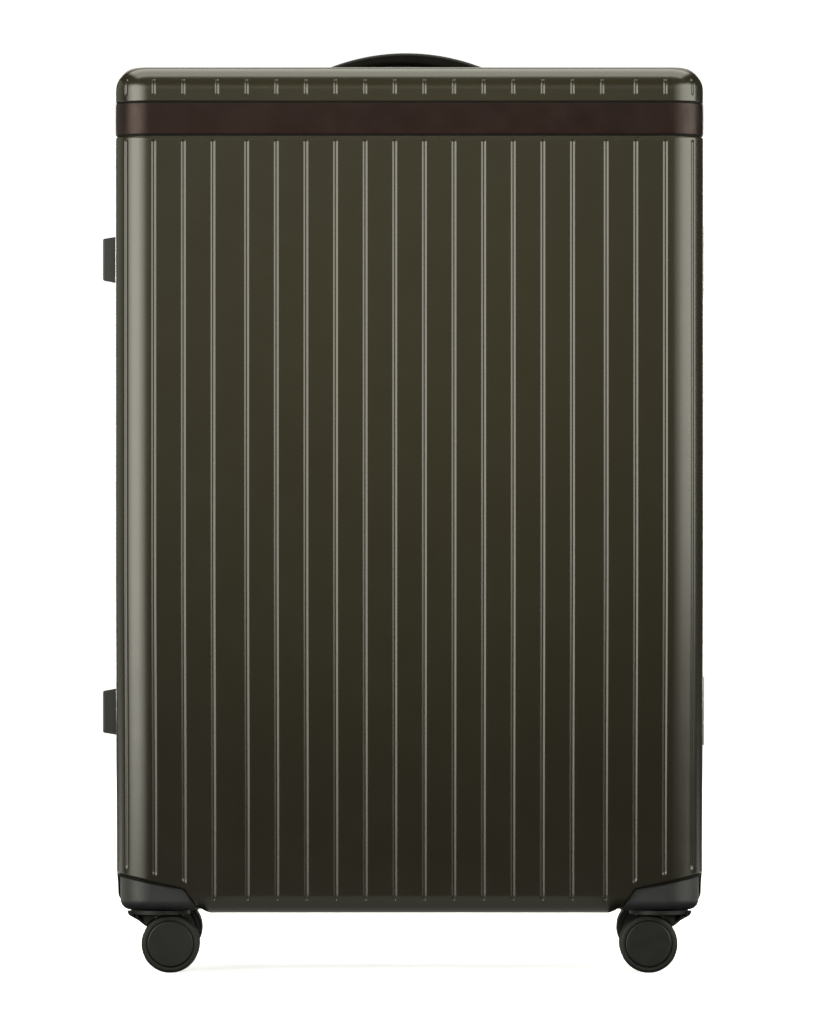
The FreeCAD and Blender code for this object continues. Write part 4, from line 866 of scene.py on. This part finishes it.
def lining_mesh(seed, holes):
    rings = []
    for k in (238, 205, 170, 135, 100, 70, 46, 30, 22):
        p = rr_loop(-LX + k, LX - k, LZ0 + k, LZ1 - k, max(13.3 - k, 1.0), max(9.3 - k, 1.0))
        y = -LY + 0.5 + 0.45 * slack(p[:, 0], p[:, 1], seed)
        rings.append(np.stack([p[:, 0], y, p[:, 1]], 1))
    for deg in (0, 15, 30, 45, 60, 75, 90):
        a = math.radians(deg)
        k = CR * (1 - math.sin(a))
        p = rr_loop(-LX + k, LX - k, LZ0 + k, LZ1 - k, max(13.3 - k, 1.0), max(9.3 - k, 1.0))
        rings.append(np.stack([p[:, 0], np.full(len(p), -LY + CR * (1 - math.cos(a))), p[:, 1]], 1))
    for y in list(np.linspace(-LY + CR, -5.0, 17))[1:] + [-3.3]:
        p = rr_loop(-LX, LX, LZ0, LZ1, 13.3, 9.3)
        c = np.array([0.0, 416.0])
        d = (p - c) / np.linalg.norm(p - c, axis=1, keepdims=True)
        run = np.arange(len(p)) * 9.0
        ease_in = min((-3.3 - y) / 30.0, 1.0)
        push = (0.25 + 0.35 * (1 + slack(run, np.full(len(p), y * 3.0), seed + 2))) * ease_in
        p = p - d * push[:, None]
        rings.append(np.stack([p[:, 0], np.full(len(p), y), p[:, 1]], 1))
    rings = np.array(rings)
    m, n = rings.shape[:2]
    bag = Bag()
    flat = rings.reshape(-1, 3)
    keep = []
    for i in range(m - 1):
        for j in range(n):
            f = (i * n + j, (i + 1) * n + j, (i + 1) * n + (j + 1) % n, i * n + (j + 1) % n)
            c = flat[list(f)].mean(0)
            if HW - abs(c[0]) < 70.5 and HD + c[1] < 70.5 and c[2] < 89.0:
                continue
            if any(h(c) for h in holes):
                continue
            keep.append(f)
    bag.add(flat, keep)
    bag.fan(rings[0], True)
    # covers over the caster wells
    for side in (-1, 1):
        rows = []
        def contour(w, r):
            pts = [(a, w) for a in np.linspace(6.4, w - r, 9)]
            pts += [(w - r + r * math.sin(math.radians(t)), w - r + r * math.cos(math.radians(t))) for t in (15, 30, 45, 60, 75)]
            return np.array(pts + [(w, a) for a in np.linspace(w - r, 6.4, 9)])
        top, er = 98.2, 9.0
        for z in (58.9, 66.0, 74.0, 82.0, top - er):
            rows.append((contour(79.2, 13.0), z))
        for deg in (22, 45, 67, 90):
            a = math.radians(deg)
            k = er * (1 - math.cos(a))
            rows.append((contour(79.2 - k, max(13.0 - k, 4.0)), top - er + er * math.sin(a)))
        base = rows[-1][0]
        # flat top, back to the rounded corner of the walls
        e = base[0][1] - 2.0
        wall = [(6.4, v) for v in np.linspace(e, PR, 9)[:-1]]
        wall += [(PR - (PR - 6.4) * math.cos(t), PR - (PR - 6.4) * math.sin(t)) for t in np.linspace(0, math.pi / 2, 7)]
        wall = np.array(wall + [(v, 6.4) for v in np.linspace(PR, e, 9)[1:]])
        for f in (0.75, 0.5, 0.25, 0.0):
            rows.append((wall + (base - wall) * f, top + 0.3 * math.sin(f * 9)))
        pts = [[(side * (HW - q[0]), -HD + q[1], z) for q in c] for c, z in rows]
        bag.grid(pts, flip=side > 0)
    return bag


def mouth_piping(name, body, flip):
    b = Bag()
    p = rr_loop(-LX + 1.0, LX - 1.0, LZ0 + 1.0, LZ1 - 1.0, 12.4, 8.4)
    b.sweep([(x, -4.4, z) for x, z in p], 1.15, 8, True)
    p = rr_loop(-LX + 4.6, LX - 4.6, LZ0 + 4.6, LZ1 - 4.6, 10.0, 8.0)
    if flip:
        b = mirrored(b)
    return b.object(name, M["piping"], body, "lining_fabric", 60)


bag = lining_mesh(0.4, [])
front_lining = bag.object("front_lining_cloth", M["lining_fabric"], "front_half", "lining_fabric", 60, 0.02)
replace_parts(front_lining, "front_lining")
front_piping = mouth_piping("front_lining_piping", "front_half", False)

POST_X, POST_Y = 72.0, 45.0
holes = [lambda c: abs(c[0]) < 110.5 and -140.0 < c[1] < -100.5 and c[2] > 755.0,
         lambda c: c[2] > 755.0 and math.hypot(abs(c[0]) - POST_X, c[1] + POST_Y) < 11.0,
         lambda c: c[0] < -235.0 and math.hypot(abs(c[2] - SIDE_Z) - 83.0, c[1] + SIDE_Y) < 10.0]
bag = mirrored(lining_mesh(1.9, holes))
rear_lining = bag.object("rear_lining_cloth", M["lining_fabric"], "rear_half", "lining_fabric", 60, 0.02)
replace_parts(rear_lining, "rear_lining")
rear_piping = mouth_piping("rear_lining_piping", "rear_half", True)
# moulded rings that close the lining round the handle guides, and a rim round the trolley tray
bag = Bag()
for sx in (-1, 1):
    bag.lathe([(772.6, 7.4), (771.6, 7.4), (771.0, 9.0), (771.2, 13.0), (772.2, 15.2), (773.0, 15.2)], (POST_X * sx, POST_Y, 0.0), (0, 0, 1), 40, False)
    bag.lathe([(-LX + 0.6, 6.4), (-LX + 1.8, 6.4), (-LX + 2.4, 8.0), (-LX + 2.2, 12.0), (-LX + 1.2, 14.2), (-LX + 0.4, 14.2)], (0.0, SIDE_Y, SIDE_Z + 83.0 * sx), (1, 0, 0), 40, False)
rings = bag.object("rear_lining_grommets", M["mount_moulding"], "rear_half", "mount_moulding", 60)
bag = Bag()
bag.sweep([(x, y, 772.6) for x, y, _ in rounded_loop(-111.5, 111.5, 99.6, 140.6, 6.0, 0.0, 6)], 2.0, 8, True, 1.0)
rim = bag.object("rear_lining_tray_rim", M["piping"], "rear_half", "lining_fabric", 60)


# ------------------------------------------------------------------ mesh pocket on the front half
def pocket():
    x1, z0, z1, r = 190.0, 130.0, 650.0, 25.0
    nx, nz = 76, 104
    grid = []
    for z in np.linspace(z1, z0, nz):
        row = []
        for x in np.linspace(-x1, x1, nx):
            px, pz = x, z
            for cx in (-x1 + r, x1 - r):
                for cz in (z0 + r, z1 - r):
                    if (x - cx) * cx > 0 and (z - cz) * (cz - 390.0) > 0:
                        d = math.hypot(x - cx, z - cz)
                        lim = max(abs(x - cx), abs(z - cz))
                        if d > 1e-6:
                            px, pz = cx + (x - cx) * lim / d, cz + (z - cz) * lim / d
            edge = min(x1 - abs(px), pz - z0, (z1 - pz) * 1.0)
            belly = 3.2 * float(ease(0, 120, edge))
            gather = 1.0 * math.sin(px * 0.33) * float(ease(60, 0, z1 - pz)) * float(ease(0, 12, x1 - abs(px)))
            row.append((px, -151.6 + 0.4 + belly + gather * 0.6 + 0.5 * float(slack(px, pz, 5.1)) * float(ease(0, 60, edge)), pz))
        grid.append(row)
    b = Bag()
    b.grid(grid, flip=True)
    cloth = b.object("front_pocket_mesh", M["pocket_mesh"], "front_half", "pocket_mesh", 60)
    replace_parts(cloth, "front_pocket")
    b = Bag()
    loop = rr_loop(-x1 + 0.5, x1 - 0.5, z0 + 0.5, z1 - 0.5, r, r, 60, 80, 8)
    b.sweep([(x, -150.9, z) for x, z in loop], 3.6, 10, True, 0.42)
    tape = b.object("front_pocket_binding", M["strap_webbing"], "front_half", "strap_webbing", 60)
    # zip under the top binding
    zz, yy = 628.0, -149.6
    b = Bag()
    b.slab([(-162.0, zz - 6.5), (162.0, zz - 6.5), (162.0, zz + 6.5), (-162.0, zz + 6.5)], "xz", yy - 0.5, yy)
    zip_tape = b.object("front_pocket_zip_tape", M["strap_webbing"], "front_half", "strap_webbing", 40)
    b = Bag()
    for i, x in enumerate(np.arange(-160.0, 160.1, 1.6)):
        dz = 0.55 if i % 2 else -0.55
        b.slab([(x - 0.5, zz + dz - 1.5), (x + 0.5, zz + dz - 1.5), (x + 0.5, zz + dz + 1.5), (x - 0.5, zz + dz + 1.5)], "xz", yy - 0.05, yy + 0.55)
    b.slab([(-158.0, zz - 2.6), (-148.0, zz - 3.2), (-148.0, zz + 3.2), (-158.0, zz + 2.6)], "xz", yy - 0.05, yy + 0.8)
    b.slab([(-154.0 + 2.4 * math.cos(t), zz - 13.0 + 11.0 * math.sin(t)) for t in np.linspace(0, 2 * math.pi, 25)[:-1]], "xz", yy + 0.3, yy + 0.95)
    zipper = b.object("front_pocket_zip", M["zip"], "front_half", "hinge_steel", 40)


pocket()


# ------------------------------------------------------------------ trolley cover, straps and buckles
def trolley_cover():
    x1, y0, y1, z0, z1, r = 101.2, 104.9, 151.6, 69.0, 751.6, 8.0
    path = [(-x1, y) for y in np.linspace(y1, y0 + r, 8)]
    path += [(-x1 + r - r * math.cos(math.radians(a)), y0 + r - r * math.sin(math.radians(a))) for a in (18, 36, 54, 72)]
    path += [(x, y0) for x in np.linspace(-x1 + r, x1 - r, 40)]
    path += [(x1 - r + r * math.sin(math.radians(a)), y0 + r - r * math.cos(math.radians(a))) for a in (18, 36, 54, 72)]
    path += [(x1, y) for y in np.linspace(y0 + r, y1, 8)]
    grid = []
    for z in np.linspace(z1, z0, 110):
        row = []
        for x, y in path:
            front = 1.0 if y < y0 + 0.01 else 0.0
            w = 0.5 * float(slack(x * 2.0, z, 7.7)) * front * float(ease(0, 30, min(z1 - z, z - z0)))
            row.append((x, y + 0.45 * front + w * 0.7, z))
        grid.append(row)
    b = Bag()
    b.grid(grid)
    ob = b.object("trolley_cover_cloth", M["lining_fabric"], "rear_half", "lining_fabric", 60)
    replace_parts(ob, "trolley_cover")
    b = Bag()
    for sx in (-1, 1):
        b.sweep([(sx * (x1 - 2.2), y0 + 2.0, z) for z in np.linspace(z0, z1, 60)], 1.2, 8)
    for z in (z0 + 1.0, z1 - 1.0):
        b.sweep([(x, y - 0.1, z) for x, y in path], 1.0, 8)
    trim = b.object("trolley_cover_piping", M["piping"], "rear_half", "lining_fabric", 60)
    # zip across the cover, for reaching the tubes
    b = Bag()
    zz = 690.0
    b.slab([(-88.0, zz - 6.0), (88.0, zz - 6.0), (88.0, zz + 6.0), (-88.0, zz + 6.0)], "xz", y0 - 0.25, y0 + 0.1)
    tape = b.object("trolley_cover_zip_tape", M["strap_webbing"], "rear_half", "strap_webbing", 40)
    b = Bag()
    for i, x in enumerate(np.arange(-86.0, 86.1, 1.6)):
        dz = 0.55 if i % 2 else -0.55
        b.slab([(x - 0.5, zz + dz - 1.5), (x + 0.5, zz + dz - 1.5), (x + 0.5, zz + dz + 1.5), (x - 0.5, zz + dz + 1.5)], "xz", y0 - 0.75, y0 - 0.2)
    b.slab([(74.0, zz - 3.2), (84.0, zz - 2.6), (84.0, zz + 2.6), (74.0, zz + 3.2)], "xz", y0 - 1.0, y0 - 0.2)
    pull = [(80.0 + 2.4 * math.cos(t), zz - 13.0 + 11.0 * math.sin(t)) for t in np.linspace(0, 2 * math.pi, 25)[:-1]]
    b.slab(pull, "xz", y0 - 0.95, y0 - 0.3)
    zipper = b.object("trolley_cover_zip", M["zip"], "rear_half", "hinge_steel", 40)


trolley_cover()


def packing_strap(tag, z):
    b = Bag()
    for sx in (-1, 1):
        grid = []
        for x in np.linspace(245.2, 30.0, 70):
            row = []
            for k in range(9):
                w = -15.0 + 30.0 * k / 8
                y = 102.55 - 0.25 * math.sin((245.2 - x) / 215.0 * math.pi) + 0.12 * math.sin(x * 0.05 + w * 0.04)
                row.append((sx * x, y, z + w))
            grid.append(row)
        b.grid(grid, flip=sx < 0)
    ob = b.object("packing_strap_" + tag, M["strap_webbing"], "rear_half", "strap_webbing", 60)
    mod = ob.modifiers.new("webbing", "SOLIDIFY")
    mod.thickness, mod.offset = 0.0012, 0.0
    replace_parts(ob, "packing_straps")
    b = Bag()
    for sx in (-1, 1):
        # stitched leather tab on the side wall, and the box stitch that folds the webbing on to it
        out = [(102.6 + a, z + c) for a, c in [(-17, -13), (-13, -19), (13, -19), (17, -13), (17, 13), (13, 19), (-13, 19), (-17, 13)]]
        lo, hi = (-245.6, -244.0) if sx < 0 else (244.0, 245.6)
        b.slab(out, "yz", lo, hi)
    tabs = b.object("packing_strap_tabs_" + tag, M["piping"], "rear_half", "band_leather", 40)
    bev = tabs.modifiers.new("edge", "BEVEL")
    bev.width, bev.segments, bev.limit_method = 0.0005, 2, "ANGLE"
    b = Bag()
    for sx in (-1, 1):
        for dz in (-11.0, 11.0):
            for x in np.arange(222.0, 241.0, 3.2):
                thread(b, (sx * x, 101.75, z + dz), (sx * (x + 2.2), 101.75, z + dz), 0.3, (0, -1, 0))
        for x in (222.0, 242.0):
            for dz in np.arange(-11.0, 9.0, 3.2):
                thread(b, (sx * x, 101.75, z + dz), (sx * x, 101.75, z + dz + 2.2), 0.3, (0, -1, 0))
    sew = b.object("packing_strap_stitches_" + tag, M["stitch"], "rear_half", "strap_webbing", 60)


def buckle(tag, z):
    b = Bag()
    # female half: waisted body with open side windows and a raised middle
    body = [(3.0, -16.5), (30.5, -19.0), (34.0, -16.0), (34.0, 16.0), (30.5, 19.0), (3.0, 16.5), (0.4, 14.0), (0.4, 8.4), (14.0, 8.4), (16.5, 6.6), (16.5, -6.6), (14.0, -8.4), (0.4, -8.4), (0.4, -14.0)]
    b.slab([(x, z + c) for x, c in body], "xz", 95.9, 101.5)
    b.slab([(x, z + c) for x, c in [(18.0, -9.0), (29.0, -11.0), (31.0, -9.0), (31.0, 9.0), (29.0, 11.0), (18.0, 9.0)]], "xz", 95.4, 96.2)
    # male half: bar, waist and three prongs
    body = [(-34.0, -15.0), (-31.0, -17.0), (-22.0, -17.0), (-19.5, -14.5), (-2.0, -13.6), (-2.0, -9.0), (-17.5, -8.2), (-17.5, -3.4), (12.6, -2.6), (13.4, 0.0), (12.6, 2.6), (-17.5, 3.4), (-17.5, 8.2), (-2.0, 9.0), (-2.0, 13.6), (-19.5, 14.5), (-22.0, 17.0), (-31.0, 17.0), (-34.0, 15.0)]
    b.slab([(x, z + c) for x, c in body], "xz", 96.7, 101.5)
    b.slab([(x, z + c) for x, c in [(-31.6, -13.4), (-24.5, -13.4), (-24.5, 13.4), (-31.6, 13.4)]], "xz", 96.0, 96.8)
    ob = b.object("strap_buckles_" + tag, M["buckle_moulding"], "rear_half", "buckle_moulding", 40)
    bev = ob.modifiers.new("edge", "BEVEL")
    bev.width, bev.segments, bev.limit_method = 0.0007, 3, "ANGLE"
    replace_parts(ob, "strap_buckles")


for tag, z in (("lower", 300.0), ("upper", 540.0)):
    buckle(tag, z)
    packing_strap(tag, z)


# ------------------------------------------------------------------ numbers on the dials
STROKES = {0: [[(0, 0), (1, 0), (1, 2), (0, 2), (0, 0)]], 1: [[(0.2, 1.6), (0.55, 2), (0.55, 0)]], 2: [[(0, 2), (1, 2), (1, 1), (0, 1), (0, 0), (1, 0)]],
           3: [[(0, 2), (1, 2), (1, 0), (0, 0)], [(0.15, 1), (1, 1)]], 4: [[(0, 2), (0, 1), (1, 1)], [(1, 2), (1, 0)]], 5: [[(1, 2), (0, 2), (0, 1), (1, 1), (1, 0), (0, 0)]],
           6: [[(1, 2), (0, 2), (0, 0), (1, 0), (1, 1), (0, 1)]], 7: [[(0, 2), (1, 2), (0.4, 0)]], 8: [[(0, 0), (1, 0), (1, 2), (0, 2), (0, 0)], [(0, 1), (1, 1)]],
           9: [[(1, 1), (0, 1), (0, 2), (1, 2), (1, 0), (0, 0)]]}


def dial_numbers(node, body, zc):
    r, axis_x, axis_y, hw, hz, t = 6.53, -HW - 8.0, 34.0, 0.7, 1.5, 0.17
    b = Bag()
    for d, lines in STROKES.items():
        mid = math.radians(36 * d)
        def at(u, v):
            a = mid + u / r
            return (axis_x - r * math.cos(a), axis_y + r * math.sin(a), zc + v)
        for line in lines:
            pts = [(-(px - 0.5) * 2 * hw, (py - 1.0) * hz) for px, py in line]
            for (u0, v0), (u1, v1) in zip(pts, pts[1:]):
                n = math.hypot(u1 - u0, v1 - v0)
                du, dv = (u1 - u0) / n * t, (v1 - v0) / n * t
                quad = [(u0 - du - dv, v0 - dv + du), (u0 - du + dv, v0 - dv - du), (u1 + du + dv, v1 + dv - du), (u1 + du - dv, v1 + dv + du)]
                b.add([at(u, v) for u, v in quad], [(0, 1, 2, 3)])
    b.object(node + "_numbers", M["digit"], body, None, 0)


for row, z in (("upper", 618.0), ("lower", 222.0)):
    for i, k in enumerate("abc"):
        dial_numbers("%s_dial_%s" % (row, k), "%s_wheel_%s" % (row, k), z + 9.0 * (i - 1))


# ------------------------------------------------------------------ edges on the metal and moulded parts
def soften(width_mm, *names, angle=42.0, segments=2):
    for n in names:
        if n in NODES:
            mod = NODES[n].modifiers.new("edge", "BEVEL")
            mod.width = width_mm * MM
            mod.segments = segments
            mod.limit_method = "ANGLE"
            mod.angle_limit = math.radians(angle)
            mod.harden_normals = False


soften(0.35, "latch_bases", "latch_strikes", "upper_latch_lever", "lower_latch_lever")


# ------------------------------------------------------------------ stage, lights and camera
def area(name, at, look, w, h, watts, colour=(1, 1, 1)):
    li = bpy.data.lights.new(name, "AREA")
    li.shape = "RECTANGLE"
    li.size, li.size_y = w, h
    li.energy = watts
    li.color = colour
    ob = bpy.data.objects.new(name, li)
    ob.location = at
    ob.rotation_euler = (Vector(look) - Vector(at)).to_track_quat("-Z", "Y").to_euler()
    bpy.context.scene.collection.objects.link(ob)
    return ob


def paper(name, prof, glow):
    """Round sheet of studio paper swept about the case; glow: (radius, strength) from the middle outwards."""
    me = bpy.data.meshes.new(name)
    verts, faces, n = [], [], 96
    for r, z in prof:
        verts += [(r * math.cos(2 * math.pi * j / n), r * math.sin(2 * math.pi * j / n), z) for j in range(n)]
    for i in range(len(prof) - 1):
        for j in range(n):
            k = (j + 1) % n
            faces.append((i * n + j, (i + 1) * n + j, (i + 1) * n + k, i * n + k))
    me.from_pydata(verts, [], faces)
    me.polygons.foreach_set("use_smooth", [True] * len(me.polygons))
    ob = bpy.data.objects.new(name, me)
    bpy.context.scene.collection.objects.link(ob)
    m = Mat(name, (0.88, 0.88, 0.88), 0.85, Specular_IOR_Level=0.2)
    m.bump(m.noise(90.0, 3.0, 0.5), 0.03, 0.2)
    m.b.inputs["Emission Color"].default_value = (1, 1, 1, 1)
    far = m.nt.nodes.new("ShaderNodeVectorMath")
    far.operation = "LENGTH"
    m.nt.links.new(m.tc.outputs["Object"], far.inputs[0])
    lit = m.nt.nodes.new("ShaderNodeMapRange")
    for k, v in zip(("From Min", "From Max", "To Min", "To Max"), (glow[0][0], glow[1][0], glow[0][1], glow[1][1])):
        lit.inputs[k].default_value = v
    m.nt.links.new(far.outputs["Value"], lit.inputs["Value"])
    m.nt.links.new(lit.outputs["Result"], m.b.inputs["Emission Strength"])
    me.materials.append(m.m)
    ob.visible_glossy = False
    ob.visible_diffuse = False
    return ob


# pale paper floor, turned up into a backdrop far outside the ring of cameras; it takes the shadow and throws little light back on the case
paper("studio_floor", [(0.001, 0.0), (0.5, 0.0), (1.0, 0.0), (2.0, 0.0), (4.0, 0.0), (8.0, 0.0), (14.0, 0.0)], ((0.9, 0.66), (2.6, 1.0)))
paper("studio_backdrop", [(14.0 + 3.0 * math.sin(math.radians(9 * i)), 3.0 - 3.0 * math.cos(math.radians(9 * i))) for i in range(11)] + [(17.0, 16.0), (9.0, 19.0), (0.001, 19.5)], ((1.0, 1.0), (2.0, 1.0)))

WARM = (1.0, 0.985, 0.85)


def softbox(name, at, look, h, level, side, steps):
    """Tall softbox in strips across its width (from, to, share of the level), so that its sheen fades in and out softly."""
    turn = (Vector(look) - Vector(at)).to_track_quat("-Z", "Y")
    strips = []
    for k, (u0, u1, share) in enumerate(steps):
        ob = area("%s_%d" % (name, k), at, look, u1 - u0, h, level * share * (u1 - u0) * h, WARM)
        ob.location = Vector(at) + turn @ Vector((side * 0.5 * (u0 + u1), 0, 0))
        strips.append(ob)
    return strips


boxes = softbox("softbox_left", (-2.19, -2.12, 0.98), (0, 0, 0.42), 2.0, 25.4, -1,
                ((-2.29, -1.75, 0.07), (-1.75, -1.23, 0.31), (-1.23, -0.81, 0.60), (-0.81, -0.42, 0.86), (-0.42, 0.77, 1.0), (0.77, 1.12, 0.86), (1.12, 1.56, 0.6), (1.56, 2.06, 0.28)))
boxes += softbox("softbox_right", (2.40, -1.62, 1.16), (0, 0, 0.42), 1.8, 20.0, 1,
                 ((-2.60, -2.10, 0.05), (-2.10, -1.54, 0.22), (-1.54, -1.05, 0.45), (-1.05, -0.62, 0.70), (-0.62, -0.20, 0.92), (-0.20, 1.6, 1.0), (1.6, 2.4, 0.8)))
boxes += [area("softbox_top", (0, 0.55, 2.9), (0, 0.1, 0.4), 3.4, 2.6, 24, WARM),
          area("softbox_back_left", (-1.6, 4.6, 1.2), (0, 0, 0.42), 1.0, 2.2, 28, WARM),
          area("softbox_back_right", (1.6, 4.6, 1.2), (0, 0, 0.42), 1.0, 2.2, 28, WARM)]
wash = area("floor_wash", (0, -2.2, 3.0), (0, -1.4, 0), 5.0, 2.0, 60)
wash.visible_glossy = False

# sheens only: cards behind the cameras and over the lid, the paper in the lower edge, the room in the side edges, pools of light on the paper
glows = [area("front_card", (0, -7.4, 2.5), (0, -0.16, 0.6), 3.2, 2.6, 18.0, WARM),
         area("back_card", (0, 7.4, 1.9), (0, 0.16, 0.6), 2.6, 2.6, 13.0, WARM),
         area("top_card", (0, 0.78, 2.95), (0, 0.77, 0), 3.4, 2.15, 67.0, WARM),
         area("top_card_front", (0, -0.65, 2.95), (0, -0.66, 0), 3.4, 0.71, 31.0, WARM),
         area("back_top_card", (0, 4.0, 2.7), (0, 0, 0.7), 3.4, 2.6, 24.0, WARM),
         area("paper_glow", (0, -0.2, 0.003), (0, -0.2, 1.0), 0.36, 0.7, 0.5, WARM),
         area("edge_glow_left", (-2.4, 1.2, 0.7), (0, 0, 0.42), 1.9, 2.2, 7.0, WARM),
         area("edge_glow_right", (2.4, 1.2, 0.7), (0, 0, 0.42), 1.9, 2.2, 0.6, WARM)]
for i in range(8):
    turn = math.radians(22.5 + 45 * i)
    mid, run = (1.9, 3.2) if i in (1, 2) else (2.0, 3.0)
    pool = area("pool_%d" % i, (mid * math.cos(turn), mid * math.sin(turn), 0.004), (0, 0, 1), run, 0.55, (6.5, 9.0, 9.0, 6.5, 7.0, 0.8, 0.8, 5.5)[i], WARM)
    pool.rotation_euler = (math.pi, 0, turn)
    glows.append(pool)
for lamp in boxes + [wash] + glows:
    lamp.visible_camera = False
for lamp in glows:
    lamp.visible_diffuse = False

# soft spots from above the camera, brightest on the upper half of the case, and from the far side
for name, at, aim, watts, cone in (("front_spot", (0, -4.6, 1.5), (0, -0.16, 0.62), 3750.0, 13.5), ("back_spot", (0, 4.6, 1.7), (0, 0.16, 0.55), 4200.0, 24.0)):
    li = bpy.data.lights.new(name, "SPOT")
    li.energy, li.color, li.spot_size, li.spot_blend, li.shadow_soft_size = watts, WARM, math.radians(cone), 1.0, 0.3
    spot = bpy.data.objects.new(name, li)
    spot.location = at
    spot.rotation_euler = (Vector(aim) - Vector(at)).to_track_quat("-Z", "Y").to_euler()
    spot.visible_glossy = False
    spot.visible_camera = False
    bpy.context.scene.collection.objects.link(spot)

world = bpy.data.worlds.new("studio_world")
world.use_nodes = True
world.node_tree.nodes["Background"].inputs["Color"].default_value = (1, 1, 1, 1)
world.node_tree.nodes["Background"].inputs["Strength"].default_value = 0.035
bpy.context.scene.world = world
bpy.context.scene.view_settings.view_transform = "Standard"
bpy.context.scene.view_settings.look = "None"

cam = bpy.data.cameras.new("camera")
cam.lens = 36.0 * 6.5 / (1.024 * 0.8587)
cam.sensor_width = 36.0
cam.clip_end = 50.0
cam_ob = bpy.data.objects.new("camera", cam)
cam_ob.location = (SX * MM, -6.66, 0.3970)
cam_ob.rotation_euler = (math.radians(90), 0, 0)
bpy.context.scene.collection.objects.link(cam_ob)
bpy.context.scene.camera = cam_ob
